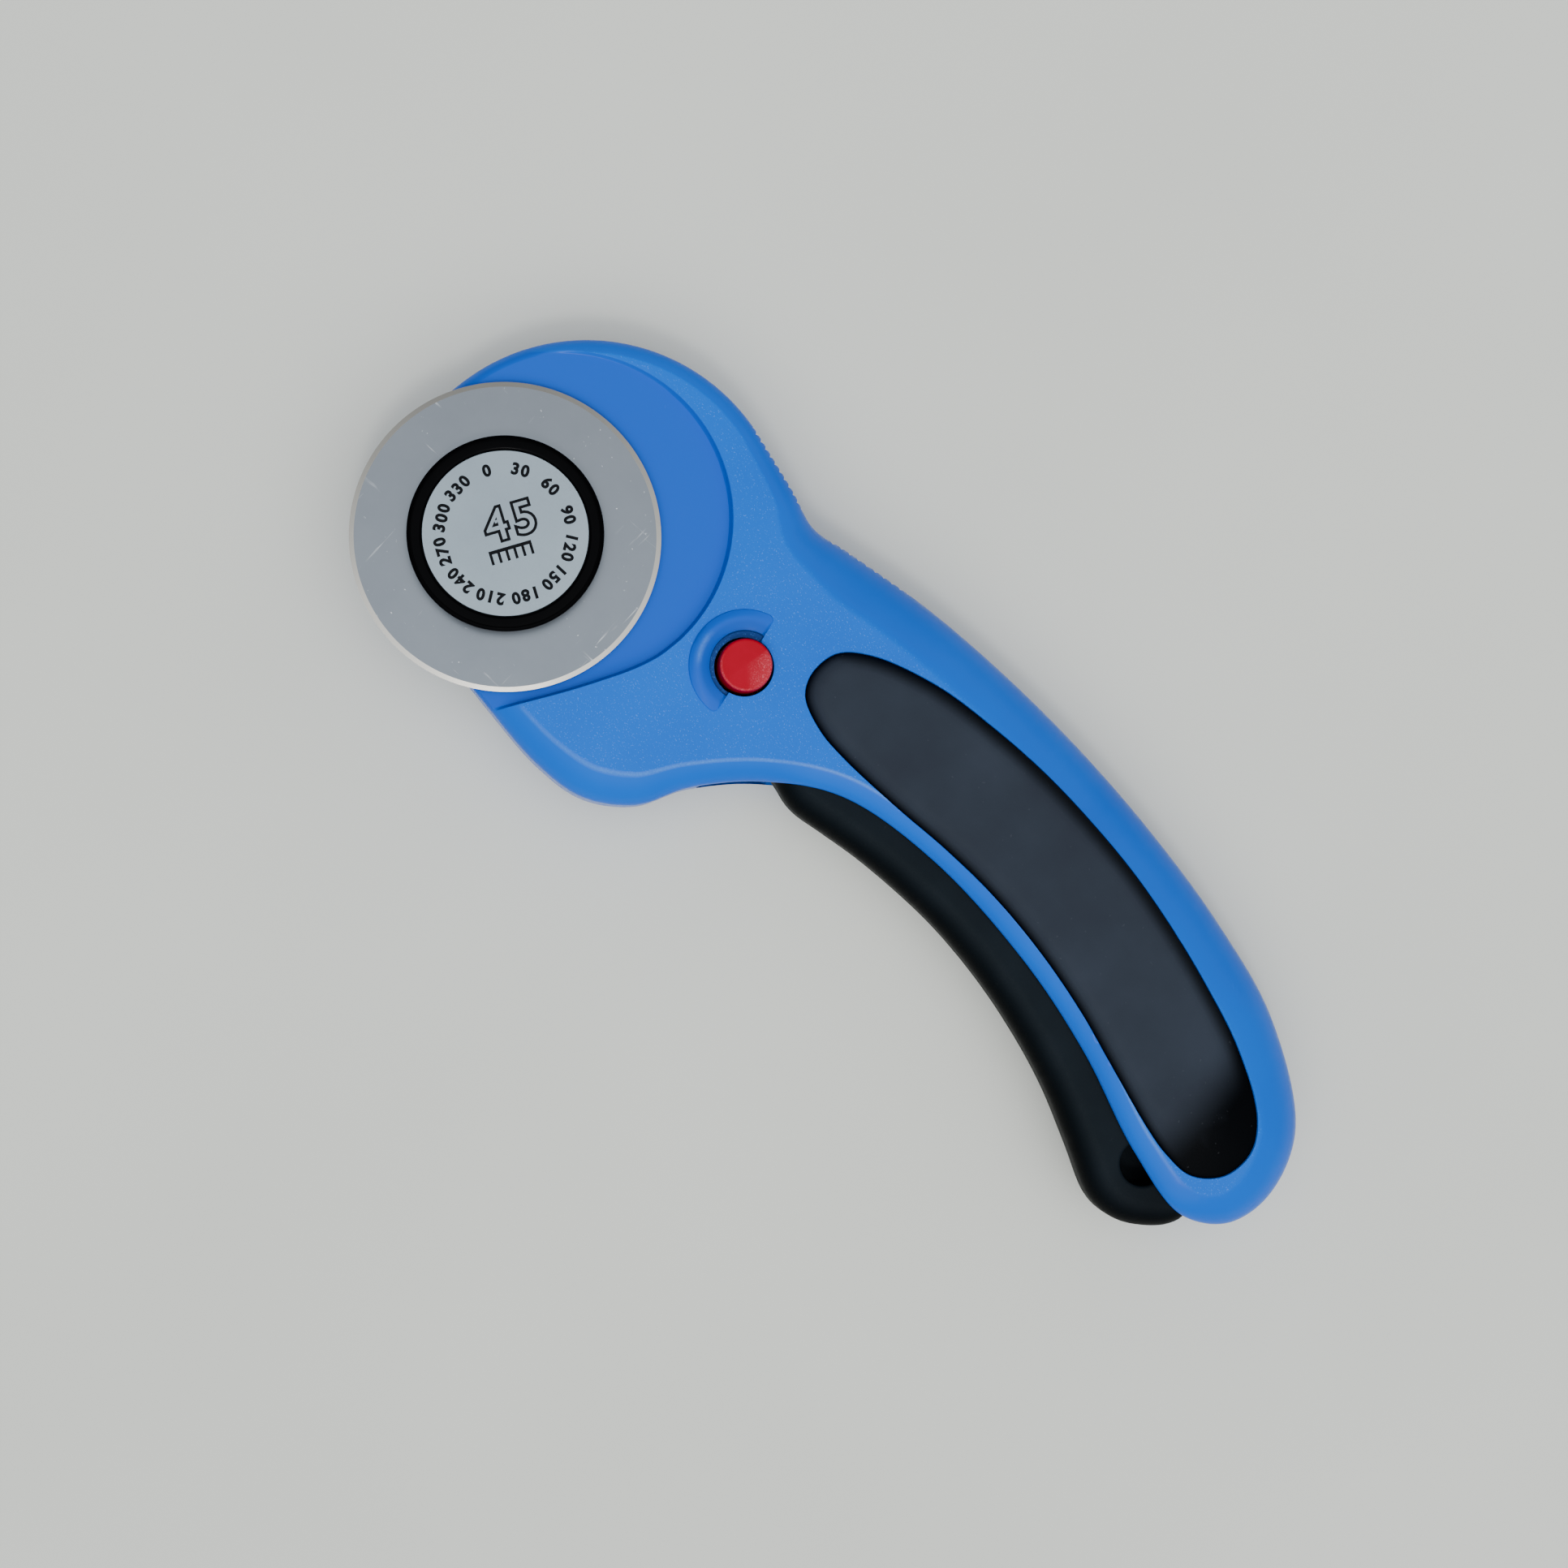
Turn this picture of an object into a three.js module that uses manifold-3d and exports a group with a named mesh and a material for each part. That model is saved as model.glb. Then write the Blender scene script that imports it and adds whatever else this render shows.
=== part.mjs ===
// Rotary cutter: a round blade on a squeeze-trigger lever, between two handle shells.
//
// Lengths are millimetres and angles are degrees. The plan is drawn with the blade's
// pin at (0, 0), +X from the blade towards the butt of the handle, +Y towards the spine
// and +Z out of the blade's face. The tool lies on its back on the plane z = 0, with the
// trigger squeezed and the blade out. The last lines shift everything so that the frame's
// origin is the middle of the outer box, on that plane.

import * as THREE from 'three';
import { mergeVertices } from 'three/addons/utils/BufferGeometryUtils.js';
import Module from 'manifold-3d';

const wasm = await Module();
wasm.setup();

// ---------- Driving dimensions ----------

const BOX_MIDDLE = [63.1, 7.4];

// Heights of the stack, from the table up.
const BACK_FACE = 1;
const FRONT_FACE = 19;
const PARTING = 11;
const PARTING_GAP = 0.3;
const WALL = 2;
const SIDE_WALL = 2.4;
const EDGE_ROUND = 3.5;
const HEAD_BACK = 5.3;
const HEAD_INSIDE = [7.3, 15];
const HANDLE_INSIDE = [BACK_FACE + WALL, FRONT_FACE - WALL];
const HANDLE_INSIDE_START = 31;
const RECESS_FLOOR = 16.8;

// Blade and the stack on its pin.
const BLADE_RADIUS = 22.5;
const BLADE_THICKNESS = 0.3;
const BLADE_HEIGHT = 18;
const BEVEL_WIDTH = 0.7;
const PIN_RADIUS = 3.9;
const PIN_FLATS = 3.2;
const PIN_TOP = 19.6;
const THREAD_RADIUS = 3;
const THREAD_PITCH = 1;
const THREAD_SPAN = [1.2, 8.2];
const HEAD_RADIUS = 14.1;
const HEAD_SPAN = [18.35, 22.3];
const DISC_RADIUS = 11.9;
const RUNNING_GAP = 0.15;

// Lever: its pivot, and the angle between blade out and blade in.
const PIVOT = [33, -12.5];
const SWING = 12;
const LEVER_PLATE = [8, 14.5];
const GRIP_SPAN = [5.5, 16.5];
const ROOT_STEP = 43.2;
const HUB_BOSS_RADIUS = 5.5;
const HUB_BOSS_TOP = 17.5;
const PIVOT_PIN_RADIUS = 2.5;
const PIVOT_BOSS_RADIUS = 4;
const SPRING_RADIUS = 5;
const SPRING_WIRE = 0.45;
const SPRING_SPAN = [4.1, 7.2];
const SPRING_SWEEP = 960;
const END_RECESS = [130.4, -5.3, 3.3];
const END_RECESS_FLOOR = 9.5;

// Lock button, which slides through both shells. It rests on one side of its bore.
const BUTTON = [38.1, 9.4];
const BUTTON_RADIUS = 4;
const BUTTON_SPAN = [3.5, 21];
const BORE_MIDDLE = [38.1, 9.2];
const BORE_RADIUS = 4.35;
const BUTTON_SLOT = 4.5;
const DETENT_HEIGHT = 5.7;
const DETENT_REACH = 3.2;
const DETENT_WIRE = 0.35;
const CRESCENT = [5.15, 8.2];
const CRESCENT_HEIGHT = 0.9;
const CRESCENT_TILT = 10;

// Head and recess arcs: centre x, centre y, radius.
const HEAD_ARC = [8.8, 8.2, 29.2];
const RECESS_ARC = [4.3, 7.9, 24.35];
const NUT_STEP_ARC = [2, 3.5, 24];

// Screws: centre x, centre y.
const SCREWS = { head: [24.5, 27], neck: [44, 25.5], butt: [143.8, 5.5] };
const SCREW_RADIUS = 1.3;
const SCREW_HEAD_RADIUS = 2.5;
const SCREW_BOSS_RADIUS = 3.4;

// Grip pads: their heights, and the pockets that hold them.
const FRONT_PAD_SPAN = [18.5, 20.8];
const BACK_PAD_SPAN = [0, 1.6];
const POCKET_GAP = 0.3;

// The handle's edge from the guard, round the trigger side and the butt, to the spine.
const HANDLE_EDGE = [
  [-15.3, -8.8], [-9.5, -14], [-2, -17.1], [13.5, -19.8], [25.5, -21.3], [33.5, -20.4],
  [40, -16], [44, -9], [51.5, -1], [61.5, 5], [77.5, 7], [97.5, 5], [113, 1], [128, -4.8],
  [139.5, -7.1], [146.3, -3.4], [148.7, 4], [145.5, 14], [131.6, 24.2], [116.6, 29.2],
  [101, 32.4], [85, 34.4], [69, 35.2], [53, 34.8], [38, 32.9], [32, 31.8], [26.4, 33.5],
];
const RECESS_CORNER = [
  [9.9, -29.4], [15.4, -20.2], [21.6, -10.5], [24.1, -6.2], [26.4, -1.9], [27.9, 2], [28.6, 6],
];
const PAD_EDGE = [
  [46, 15.6], [46.8, 13], [48.2, 11.5], [52.8, 9.7], [57.8, 9.1], [67.8, 9], [77.9, 9.3],
  [87.9, 8.9], [97.8, 7.5], [107.6, 5.2], [117.1, 2.1], [126.6, -1], [131.5, -2.1], [136.4, -2],
  [140.2, 1.3], [140.9, 6.5], [138.1, 11], [129.6, 16.4], [120.1, 20.1], [110.7, 23],
  [100.9, 25.3], [90.9, 26.7], [80.9, 27.4], [70.9, 27.2], [61, 26.2], [50.9, 23], [46.8, 19.7],
];
const ROOT_EDGE = [
  [34, -17.4], [39, -13.5], [42.6, -8.2], [48, -2.4], [55, 3], [60, 8], [54, 9.6], [46, 6],
  [38, 0], [30, -8.5],
];
const GRIP_EDGE = [
  [51.8, 3.6], [53.4, 0], [56.2, -0.95], [58.6, -1.1], [62.9, -0.55], [70, 0.25], [80, 0.5],
  [86.8, 0.1], [96, -1.35], [105.2, -3.75], [113, -6.55], [121, -10.4], [128, -13.9],
  [131.2, -14.25], [135, -13.3], [139.6, -9.6], [140.6, -6.5], [137.4, -2.4], [128, -1],
  [113, 4.8], [97, 8.8], [77, 10.8], [60, 9.2],
];

// ---------- Solids ----------

const radians = THREE.MathUtils.degToRad;

function solidOf(geometry) {
  const bare = geometry.toNonIndexed ? geometry.clone() : geometry;
  bare.deleteAttribute('normal');
  bare.deleteAttribute('uv');
  const merged = mergeVertices(bare, 1e-4);
  return new wasm.Manifold(new wasm.Mesh({
    numProp: 3,
    vertProperties: new Float32Array(merged.attributes.position.array),
    triVerts: new Uint32Array(merged.index.array),
  }));
}

function geometryOf(solid) {
  const mesh = solid.getMesh();
  const geometry = new THREE.BufferGeometry();
  geometry.setAttribute('position', new THREE.BufferAttribute(mesh.vertProperties, 3));
  geometry.setIndex(new THREE.BufferAttribute(mesh.triVerts, 1));
  geometry.computeVertexNormals();
  return geometry;
}

function prism(outline, [low, high]) {
  const shape = new THREE.Shape(outline);
  const geometry = new THREE.ExtrudeGeometry(shape, { depth: high - low, bevelEnabled: false });
  return solidOf(geometry.translate(0, 0, low));
}

// A prism whose top and bottom edges are rounded inside its outline.
function pillow(outline, [low, high], round, steps) {
  const geometry = new THREE.ExtrudeGeometry(new THREE.Shape(outline), {
    depth: high - low - 2 * round,
    bevelThickness: round,
    bevelSize: round,
    bevelOffset: -round,
    bevelSegments: steps,
  });
  return solidOf(geometry.translate(0, 0, low + round));
}

function disc([x, y], radius, [low, high], sides = 32) {
  const geometry = new THREE.CylinderGeometry(radius, radius, high - low, sides);
  geometry.rotateX(Math.PI / 2);
  return solidOf(geometry.translate(x, y, (low + high) / 2));
}

function block([x0, x1], [y0, y1], [z0, z1]) {
  const geometry = new THREE.BoxGeometry(x1 - x0, y1 - y0, z1 - z0);
  return solidOf(geometry.translate((x0 + x1) / 2, (y0 + y1) / 2, (z0 + z1) / 2));
}

// A turned piece: profile points are [radius, height], from the bottom to the top.
function turned([x, y], profile, sides = 40) {
  const points = profile.map(([radius, height]) => new THREE.Vector2(radius, height));
  const geometry = new THREE.LatheGeometry(points, sides);
  geometry.rotateX(Math.PI / 2);
  return solidOf(geometry.translate(x, y, 0));
}

function rod(path, steps, radius, sides) {
  const section = new THREE.Shape(arc([0, 0], radius, 0, 360 - 360 / sides, sides - 1));
  const options = { steps, extrudePath: path, bevelEnabled: false };
  return solidOf(new THREE.ExtrudeGeometry(section, options));
}

function joinAll(solids) {
  return solids.reduce((whole, solid) => whole.add(solid));
}

function cutAll(solid, tools) {
  return tools.reduce((rest, tool) => rest.subtract(tool), solid);
}

// ---------- Outlines ----------

function arc([x, y], radius, start, end, steps) {
  return Array.from({ length: steps + 1 }, (_, i) => {
    const angle = radians(start + (end - start) * i / steps);
    return new THREE.Vector2(x + radius * Math.cos(angle), y + radius * Math.sin(angle));
  });
}

function smooth(points, divisions, closed = true) {
  const corners = points.map(([x, y]) => new THREE.Vector3(x, y, 0));
  const curve = new THREE.CatmullRomCurve3(corners, closed, 'centripetal');
  const samples = curve.getPoints(divisions).map((p) => new THREE.Vector2(p.x, p.y));
  return closed ? samples.slice(0, -1) : samples;
}

// Moves every point of a counter-clockwise outline outwards by a distance.
function grow(outline, distance) {
  return outline.map((point, i) => {
    const before = outline[(i + outline.length - 1) % outline.length];
    const after = outline[(i + 1) % outline.length];
    const along = after.clone().sub(before).normalize();
    return new THREE.Vector2(point.x + along.y * distance, point.y - along.x * distance);
  });
}

// A slot that follows an arc about a centre, with round ends.
function curvedSlot(centre, radius, start, end, halfWidth) {
  const [first, last] = arc(centre, radius, start, end, 1);
  return [
    ...arc([first.x, first.y], halfWidth, start - 180, start, 8),
    ...arc(centre, radius + halfWidth, start, end, 6).slice(1, -1),
    ...arc([last.x, last.y], halfWidth, end, end + 180, 8),
    ...arc(centre, radius - halfWidth, end, start, 6).slice(1, -1),
  ];
}

// A bar with round ends of two radii.
function taperedBar([x0, y0], radius0, [x1, y1], radius1) {
  const along = THREE.MathUtils.radToDeg(Math.atan2(y1 - y0, x1 - x0));
  const length = Math.hypot(x1 - x0, y1 - y0);
  const lean = THREE.MathUtils.radToDeg(Math.acos((radius0 - radius1) / length));
  return [
    ...arc([x0, y0], radius0, along + lean, along + 360 - lean, 12),
    ...arc([x1, y1], radius1, along - lean, along + lean, 10),
  ];
}

function turnAbout(outline, [x, y], degrees) {
  const centre = new THREE.Vector2(x, y);
  return outline.map((point) => point.clone().rotateAround(centre, radians(degrees)));
}

function headingFrom([x0, y0], [x1, y1]) {
  const angle = THREE.MathUtils.radToDeg(Math.atan2(y1 - y0, x1 - x0));
  return { radius: Math.hypot(x1 - x0, y1 - y0), angle };
}

const headArc = arc(HEAD_ARC, HEAD_ARC[2], 74, 200, 20);
const handleEnds = [headArc.at(-1).toArray(), ...HANDLE_EDGE, headArc[0].toArray()];
const bodyOutline = [...headArc.slice(1, -1), ...smooth(handleEnds, 72, false)];
const padOutline = smooth(PAD_EDGE, 54);
const gripOutline = smooth(GRIP_EDGE, 50);
const rootOutline = smooth(ROOT_EDGE, 36);
const hub = headingFrom(PIVOT, [0, 0]);
const bolt = headingFrom(PIVOT, BUTTON);

// ---------- Handle ----------

// The recess that the blade turns in: an arc that runs into a nearly straight wall.
function recessOutline() {
  return [
    ...arc(RECESS_ARC, RECESS_ARC[2], 0, 130, 30),
    new THREE.Vector2(-26, 13.6),
    new THREE.Vector2(-26, -29.4),
    ...smooth(RECESS_CORNER, 24, false),
  ];
}

// The thinner part of the head's back, with room for fingers round the nut.
function nutStepOutline() {
  return [
    ...arc(NUT_STEP_ARC, NUT_STEP_ARC[2], -60, 60, 20),
    new THREE.Vector2(-8, 43),
    new THREE.Vector2(-50, 43),
    new THREE.Vector2(-50, -38),
    new THREE.Vector2(-8, -38),
  ];
}

function hollow() {
  const inside = grow(bodyOutline, -SIDE_WALL);
  const handle = prism(inside, HANDLE_INSIDE);
  const keep = block([HANDLE_INSIDE_START, 160], [-40, 50], HANDLE_INSIDE);
  return joinAll([
    prism(inside, HEAD_INSIDE),
    handle.intersect(keep),
    disc(PIVOT, 6.6, HANDLE_INSIDE),
  ]);
}

// Room for the trigger's grip, from squeezed to released, between the two shells.
function gripRoom() {
  const angles = [0, 1, 2, 3].map((third) => -SWING * third / 3);
  const rooms = angles.flatMap((angle) => [
    prism(turnAbout(grow(gripOutline, 0.6), PIVOT, angle), [5, HANDLE_INSIDE[1]]),
    prism(turnAbout(grow(rootOutline, 0.6), PIVOT, angle), [5, HANDLE_INSIDE[1]]),
  ]);
  return joinAll(rooms);
}

function pinSlot(halfWidth, span) {
  return prism(curvedSlot(PIVOT, hub.radius, hub.angle - SWING, hub.angle, halfWidth), span);
}

function screwBoss(centre) {
  return disc(centre, SCREW_BOSS_RADIUS, [BACK_FACE + 1, FRONT_FACE - 1], 20);
}

function housing() {
  const outside = pillow(bodyOutline, [BACK_FACE, FRONT_FACE], EDGE_ROUND, 3);
  const hollowed = cutAll(outside, [hollow(), gripRoom()]);
  const bosses = Object.values(SCREWS).map((centre) => screwBoss(centre).intersect(outside));
  const sleeve = disc(BUTTON, 6.2, [BACK_FACE + 1, FRONT_FACE - 1])
    .subtract(disc(BUTTON, 7, [LEVER_PLATE[0] - 0.6, LEVER_PLATE[1] + 0.5]));
  const backPost = disc(PIVOT, PIVOT_BOSS_RADIUS, [BACK_FACE + 1, 7.5], 24);
  const frontPost = disc(PIVOT, PIVOT_BOSS_RADIUS, [14.9, FRONT_FACE - 1], 24);
  return cutAll(joinAll([hollowed, ...bosses, sleeve, backPost, frontPost]), [
    disc(BORE_MIDDLE, BORE_RADIUS, [0, 20]),
    disc(PIVOT, PIVOT_PIN_RADIUS + RUNNING_GAP, [3.6, 16.6], 24),
    ...detentChannels(),
  ]);
}

// The raised half ring round the button, on the blade's side of it.
function crescent() {
  const [inner, outer] = CRESCENT;
  const span = [FRONT_FACE - 0.5, FRONT_FACE + CRESCENT_HEIGHT];
  const start = 90 + CRESCENT_TILT;
  const edge = [
    ...arc(BUTTON, outer, start, start + 180, 20),
    ...arc(BUTTON, inner, start + 180, start, 16),
  ];
  return prism(edge, span);
}

function frontShell(whole) {
  const front = block([-40, 170], [-50, 60], [PARTING + PARTING_GAP / 2, 30]);
  const pocket = prism(padOutline, [FRONT_PAD_SPAN[0] - POCKET_GAP, 30]);
  const screwBores = Object.values(SCREWS)
    .map((centre) => disc(centre, SCREW_RADIUS + RUNNING_GAP, [0, 15.4], 16));
  return cutAll(whole.intersect(front), [
    prism(recessOutline(), [RECESS_FLOOR, 30]),
    pinSlot(HUB_BOSS_RADIUS + 0.7, [0, 30]),
    pocket,
    ...screwBores,
  ]).add(crescent());
}

function backShell(whole) {
  const back = block([-40, 170], [-50, 60], [-5, PARTING - PARTING_GAP / 2]);
  const step = prism(nutStepOutline(), [-5, HEAD_BACK]);
  const pocket = prism(padOutline, [-5, BACK_PAD_SPAN[1] + POCKET_GAP]);
  const screwBores = Object.values(SCREWS).flatMap((centre) => [
    disc(centre, SCREW_RADIUS + 0.2, [0, 15.4], 16),
    disc(centre, SCREW_HEAD_RADIUS + 0.3, [-5, 3.4], 20),
  ]);
  return cutAll(whole.intersect(back), [
    step,
    pinSlot(7.2, [0, 30]),
    pocket,
    ...screwBores,
  ]);
}

function gripPad(span, round) {
  return pillow(grow(padOutline, -POCKET_GAP), span, round, 2);
}

function housingScrew(centre) {
  const screw = turned(centre, [
    [0, 1.7], [SCREW_HEAD_RADIUS - 0.4, 1.7], [SCREW_HEAD_RADIUS, 2.1],
    [SCREW_HEAD_RADIUS, 3.2], [SCREW_RADIUS, 3.2], [SCREW_RADIUS, 14.4], [0, 15.2],
  ], 16);
  const [x, y] = centre;
  return cutAll(screw, [
    block([x - 1.5, x + 1.5], [y - 0.3, y + 0.3], [0, 2.5]),
    block([x - 0.3, x + 0.3], [y - 1.5, y + 1.5], [0, 2.5]),
  ]);
}

// ---------- Lever and lock ----------

function triggerLever() {
  const lug = [34.6, 9.2];
  const slotEnds = [bolt.angle, bolt.angle + SWING];
  const plate = joinAll([
    prism(taperedBar([0, 0], 8, PIVOT, 5.1), LEVER_PLATE),
    prism(taperedBar(lug, 9, PIVOT, 5.1), LEVER_PLATE),
    prism(rootOutline, LEVER_PLATE),
    prism(rootOutline, GRIP_SPAN).intersect(block([ROOT_STEP, 70], [-20, 30], GRIP_SPAN)),
    prism(curvedSlot(PIVOT, bolt.radius, ...slotEnds, 7.2), LEVER_PLATE),
  ]);
  const grip = pillow(gripOutline, GRIP_SPAN, 1.8, 2);
  const boss = disc([0, 0], HUB_BOSS_RADIUS, [LEVER_PLATE[1] - 1, HUB_BOSS_TOP]);
  const flats = PIN_FLATS + RUNNING_GAP;
  const pinBore = disc([0, 0], PIN_RADIUS + RUNNING_GAP, [0, 30])
    .intersect(block([-10, 10], [-flats, flats], [0, 15.5]))
    .add(disc([0, 0], PIN_RADIUS + RUNNING_GAP, [LEVER_PLATE[1] - 0.1, 30]));
  return cutAll(joinAll([plate, grip, boss]), [
    pinBore,
    disc(PIVOT, PIVOT_PIN_RADIUS + RUNNING_GAP, [0, 30], 24),
    prism(curvedSlot(PIVOT, bolt.radius, ...slotEnds, BUTTON_SLOT), [0, 30]),
    disc(END_RECESS, END_RECESS[2], [END_RECESS_FLOOR, 30], 24),
  ]);
}

function leverPivotPin() {
  const radius = PIVOT_PIN_RADIUS;
  return turned(PIVOT, [
    [0, 3.9], [radius - 0.4, 3.9], [radius, 4.3], [radius, 15.9], [radius - 0.4, 16.3], [0, 16.3],
  ], 24);
}

// A torsion spring round the pivot's back post, one leg on the handle, one on the lever.
function returnSpring() {
  const [x, y] = PIVOT;
  const steps = 48;
  const coil = Array.from({ length: steps + 1 }, (_, i) => {
    const angle = radians(90 + SPRING_SWEEP * i / steps);
    const height = SPRING_SPAN[0] + (SPRING_SPAN[1] - SPRING_SPAN[0]) * i / steps;
    return new THREE.Vector3(
      x + SPRING_RADIUS * Math.cos(angle), y + SPRING_RADIUS * Math.sin(angle), height,
    );
  });
  const handleLeg = new THREE.Vector3(x + 8.5, y + SPRING_RADIUS, SPRING_SPAN[0]);
  const leverLeg = new THREE.Vector3(x + 7.2, y + 2.4, SPRING_SPAN[1]);
  const path = new THREE.CatmullRomCurve3([handleLeg, ...coil, leverLeg]);
  return rod(path, 60, SPRING_WIRE, 6);
}

function lockButton() {
  const [low, high] = BUTTON_SPAN;
  const radius = BUTTON_RADIUS;
  return turned(BUTTON, [
    [0, low], [radius - 0.4, low], [radius, low + 0.4], [radius, 4.7], [2.6, 5.2], [2.6, 6.2],
    [radius, 6.7], [radius, 7.6], [2.6, 8.1], [2.6, 14], [radius, 15.2], [radius, 17.6],
    [radius - 0.15, high - 0.5], [radius - 0.35, high - 0.15], [radius - 0.8, high - 0.05], [0, high],
  ], 24);
}

// A hairpin of spring wire whose two legs ride in the button's back grooves.
function lockDetentSpring() {
  const [x, y] = BUTTON;
  const bend = arc([x + 5.6, y], DETENT_REACH, -90, 90, 6)
    .map((point) => new THREE.Vector3(point.x, point.y, DETENT_HEIGHT));
  const points = [
    new THREE.Vector3(x - 5.6, y - DETENT_REACH, DETENT_HEIGHT), ...bend,
    new THREE.Vector3(x - 5.6, y + DETENT_REACH, DETENT_HEIGHT),
  ];
  return rod(new THREE.CatmullRomCurve3(points), 26, DETENT_WIRE, 6);
}

// The two channels in the button's back sleeve that the hairpin's legs lie in.
function detentChannels() {
  const [x, y] = BUTTON;
  const half = DETENT_WIRE + 0.3;
  const span = [DETENT_HEIGHT - half, DETENT_HEIGHT + half];
  return [-DETENT_REACH, DETENT_REACH].map((side) => (
    block([x - 8, x + 8], [y + side - half, y + side + half], span)
  ));
}

// ---------- Blade and pin stack ----------

function blade() {
  const half = BLADE_THICKNESS / 2;
  const bore = PIN_RADIUS + RUNNING_GAP;
  const land = BLADE_RADIUS - BEVEL_WIDTH;
  return turned([0, 0], [
    [bore, BLADE_HEIGHT - half], [land, BLADE_HEIGHT - half], [BLADE_RADIUS, BLADE_HEIGHT],
    [land, BLADE_HEIGHT + half], [bore, BLADE_HEIGHT + half], [bore, BLADE_HEIGHT - half],
  ], 72);
}

function bladePin() {
  const [threadLow, threadHigh] = THREAD_SPAN;
  const turns = Math.floor((threadHigh - threadLow - 1) / THREAD_PITCH);
  const thread = Array.from({ length: turns }, (_, i) => {
    const height = threadLow + 0.5 + i * THREAD_PITCH;
    return [[THREAD_RADIUS, height], [THREAD_RADIUS - 0.35, height + THREAD_PITCH / 2]];
  }).flat();
  const pin = turned([0, 0], [
    [0, threadLow], [THREAD_RADIUS - 0.4, threadLow], ...thread, [THREAD_RADIUS, threadHigh - 0.5],
    [THREAD_RADIUS, threadHigh], [PIN_RADIUS, threadHigh], [PIN_RADIUS, PIN_TOP], [0, PIN_TOP],
  ], 24);
  const flats = [PIN_FLATS, 10];
  const height = [threadHigh - 0.1, LEVER_PLATE[1] + 0.2];
  return cutAll(pin, [
    block([-10, 10], flats, height),
    block([-10, 10], flats.map((y) => -y).reverse(), height),
  ]);
}

function pinHead() {
  const [low, high] = HEAD_SPAN;
  const pocket = DISC_RADIUS + 0.12;
  return turned([0, 0], [
    [0, PIN_TOP + 0.3], [PIN_RADIUS + 0.3, PIN_TOP + 0.3], [PIN_RADIUS + 0.3, low],
    [HEAD_RADIUS - 1, low], [HEAD_RADIUS, high - 0.6], [HEAD_RADIUS, high - 0.4],
    [HEAD_RADIUS - 0.5, high - 0.1], [pocket + 0.3, high], [pocket, high - 0.15],
    [pocket, high - 0.8], [0, high - 0.8],
  ], 48);
}

function pinFaceDisc() {
  const high = HEAD_SPAN[1];
  return disc([0, 0], DISC_RADIUS, [high - 0.6, high - 0.2], 48);
}

function springWasher() {
  return turned([0, 0], [[3.4, 7.05], [6.2, 7.3], [6.2, 7.8], [3.4, 7.55], [3.4, 7.05]], 32);
}

function nutOutline() {
  const lobes = 12;
  const steps = lobes * 6;
  return Array.from({ length: steps }, (_, i) => {
    const angle = 2 * Math.PI * i / steps;
    const radius = 9.3 + 0.4 * Math.cos(lobes * angle);
    return new THREE.Vector2(radius * Math.cos(angle), radius * Math.sin(angle));
  });
}

function bladeNut() {
  const body = joinAll([
    pillow(nutOutline(), [0, 4.9], 0.8, 1),
    disc([0, 0], 6, [4, 6.8]),
  ]);
  const hexagon = arc([0, 0], 5.5, 0, 300, 5);
  return cutAll(body, [prism(hexagon, [1, 10]), disc([0, 0], 3.6, [-1, 2])]);
}

function nutInsert() {
  const hexagon = arc([0, 0], 5.25, 0, 300, 5);
  return prism(hexagon, [1.3, 6.5]).subtract(disc([0, 0], THREAD_RADIUS + 0.15, [0, 10]));
}

// ---------- Assembly ----------

const plastic = (color, roughness) => ({ color, roughness, metalness: 0 });
const metal = (color, roughness) => ({ color, roughness, metalness: 1 });
const BLUE_SHELL = plastic(0x3f82cf, 0.4);
const SOFT_GRIP = plastic(0x2a3038, 0.85);
const BLACK_PLASTIC = plastic(0x1c1f24, 0.5);
const RED_PLASTIC = plastic(0xbe1e2d, 0.35);
const BLADE_STEEL = metal(0x8f9498, 0.3);
const PLAIN_STEEL = metal(0x9a9da0, 0.4);
const SATIN_DISC = metal(0xacb4bc, 0.45);
const BRASS = metal(0xb08d3c, 0.4);

const whole = housing();
const pieces = [
  ['front_shell', BLUE_SHELL, frontShell(whole)],
  ['back_shell', BLUE_SHELL, backShell(whole)],
  ['front_grip_pad', SOFT_GRIP, gripPad(FRONT_PAD_SPAN, 0.9)],
  ['back_grip_pad', SOFT_GRIP, gripPad(BACK_PAD_SPAN, 0.7)],
  ['trigger_lever', BLACK_PLASTIC, triggerLever()],
  ['lever_pivot_pin', PLAIN_STEEL, leverPivotPin()],
  ['return_spring', PLAIN_STEEL, returnSpring()],
  ['lock_button', RED_PLASTIC, lockButton()],
  ['lock_detent_spring', PLAIN_STEEL, lockDetentSpring()],
  ['blade', BLADE_STEEL, blade()],
  ['blade_pin', PLAIN_STEEL, bladePin()],
  ['pin_head', BLACK_PLASTIC, pinHead()],
  ['pin_face_disc', SATIN_DISC, pinFaceDisc()],
  ['spring_washer', PLAIN_STEEL, springWasher()],
  ['blade_nut', BLACK_PLASTIC, bladeNut()],
  ['nut_insert', BRASS, nutInsert()],
  ...Object.entries(SCREWS).map(([place, centre]) => (
    [`housing_screw_${place}`, PLAIN_STEEL, housingScrew(centre)]
  )),
];

const cutter = new THREE.Group();
cutter.position.set(-BOX_MIDDLE[0], -BOX_MIDDLE[1], 0);
for (const [name, finish, solid] of pieces) {
  const mesh = new THREE.Mesh(geometryOf(solid), new THREE.MeshStandardMaterial(finish));
  mesh.name = name;
  cutter.add(mesh);
}

const part = new THREE.Group();
part.add(cutter);
export default part;
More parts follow.
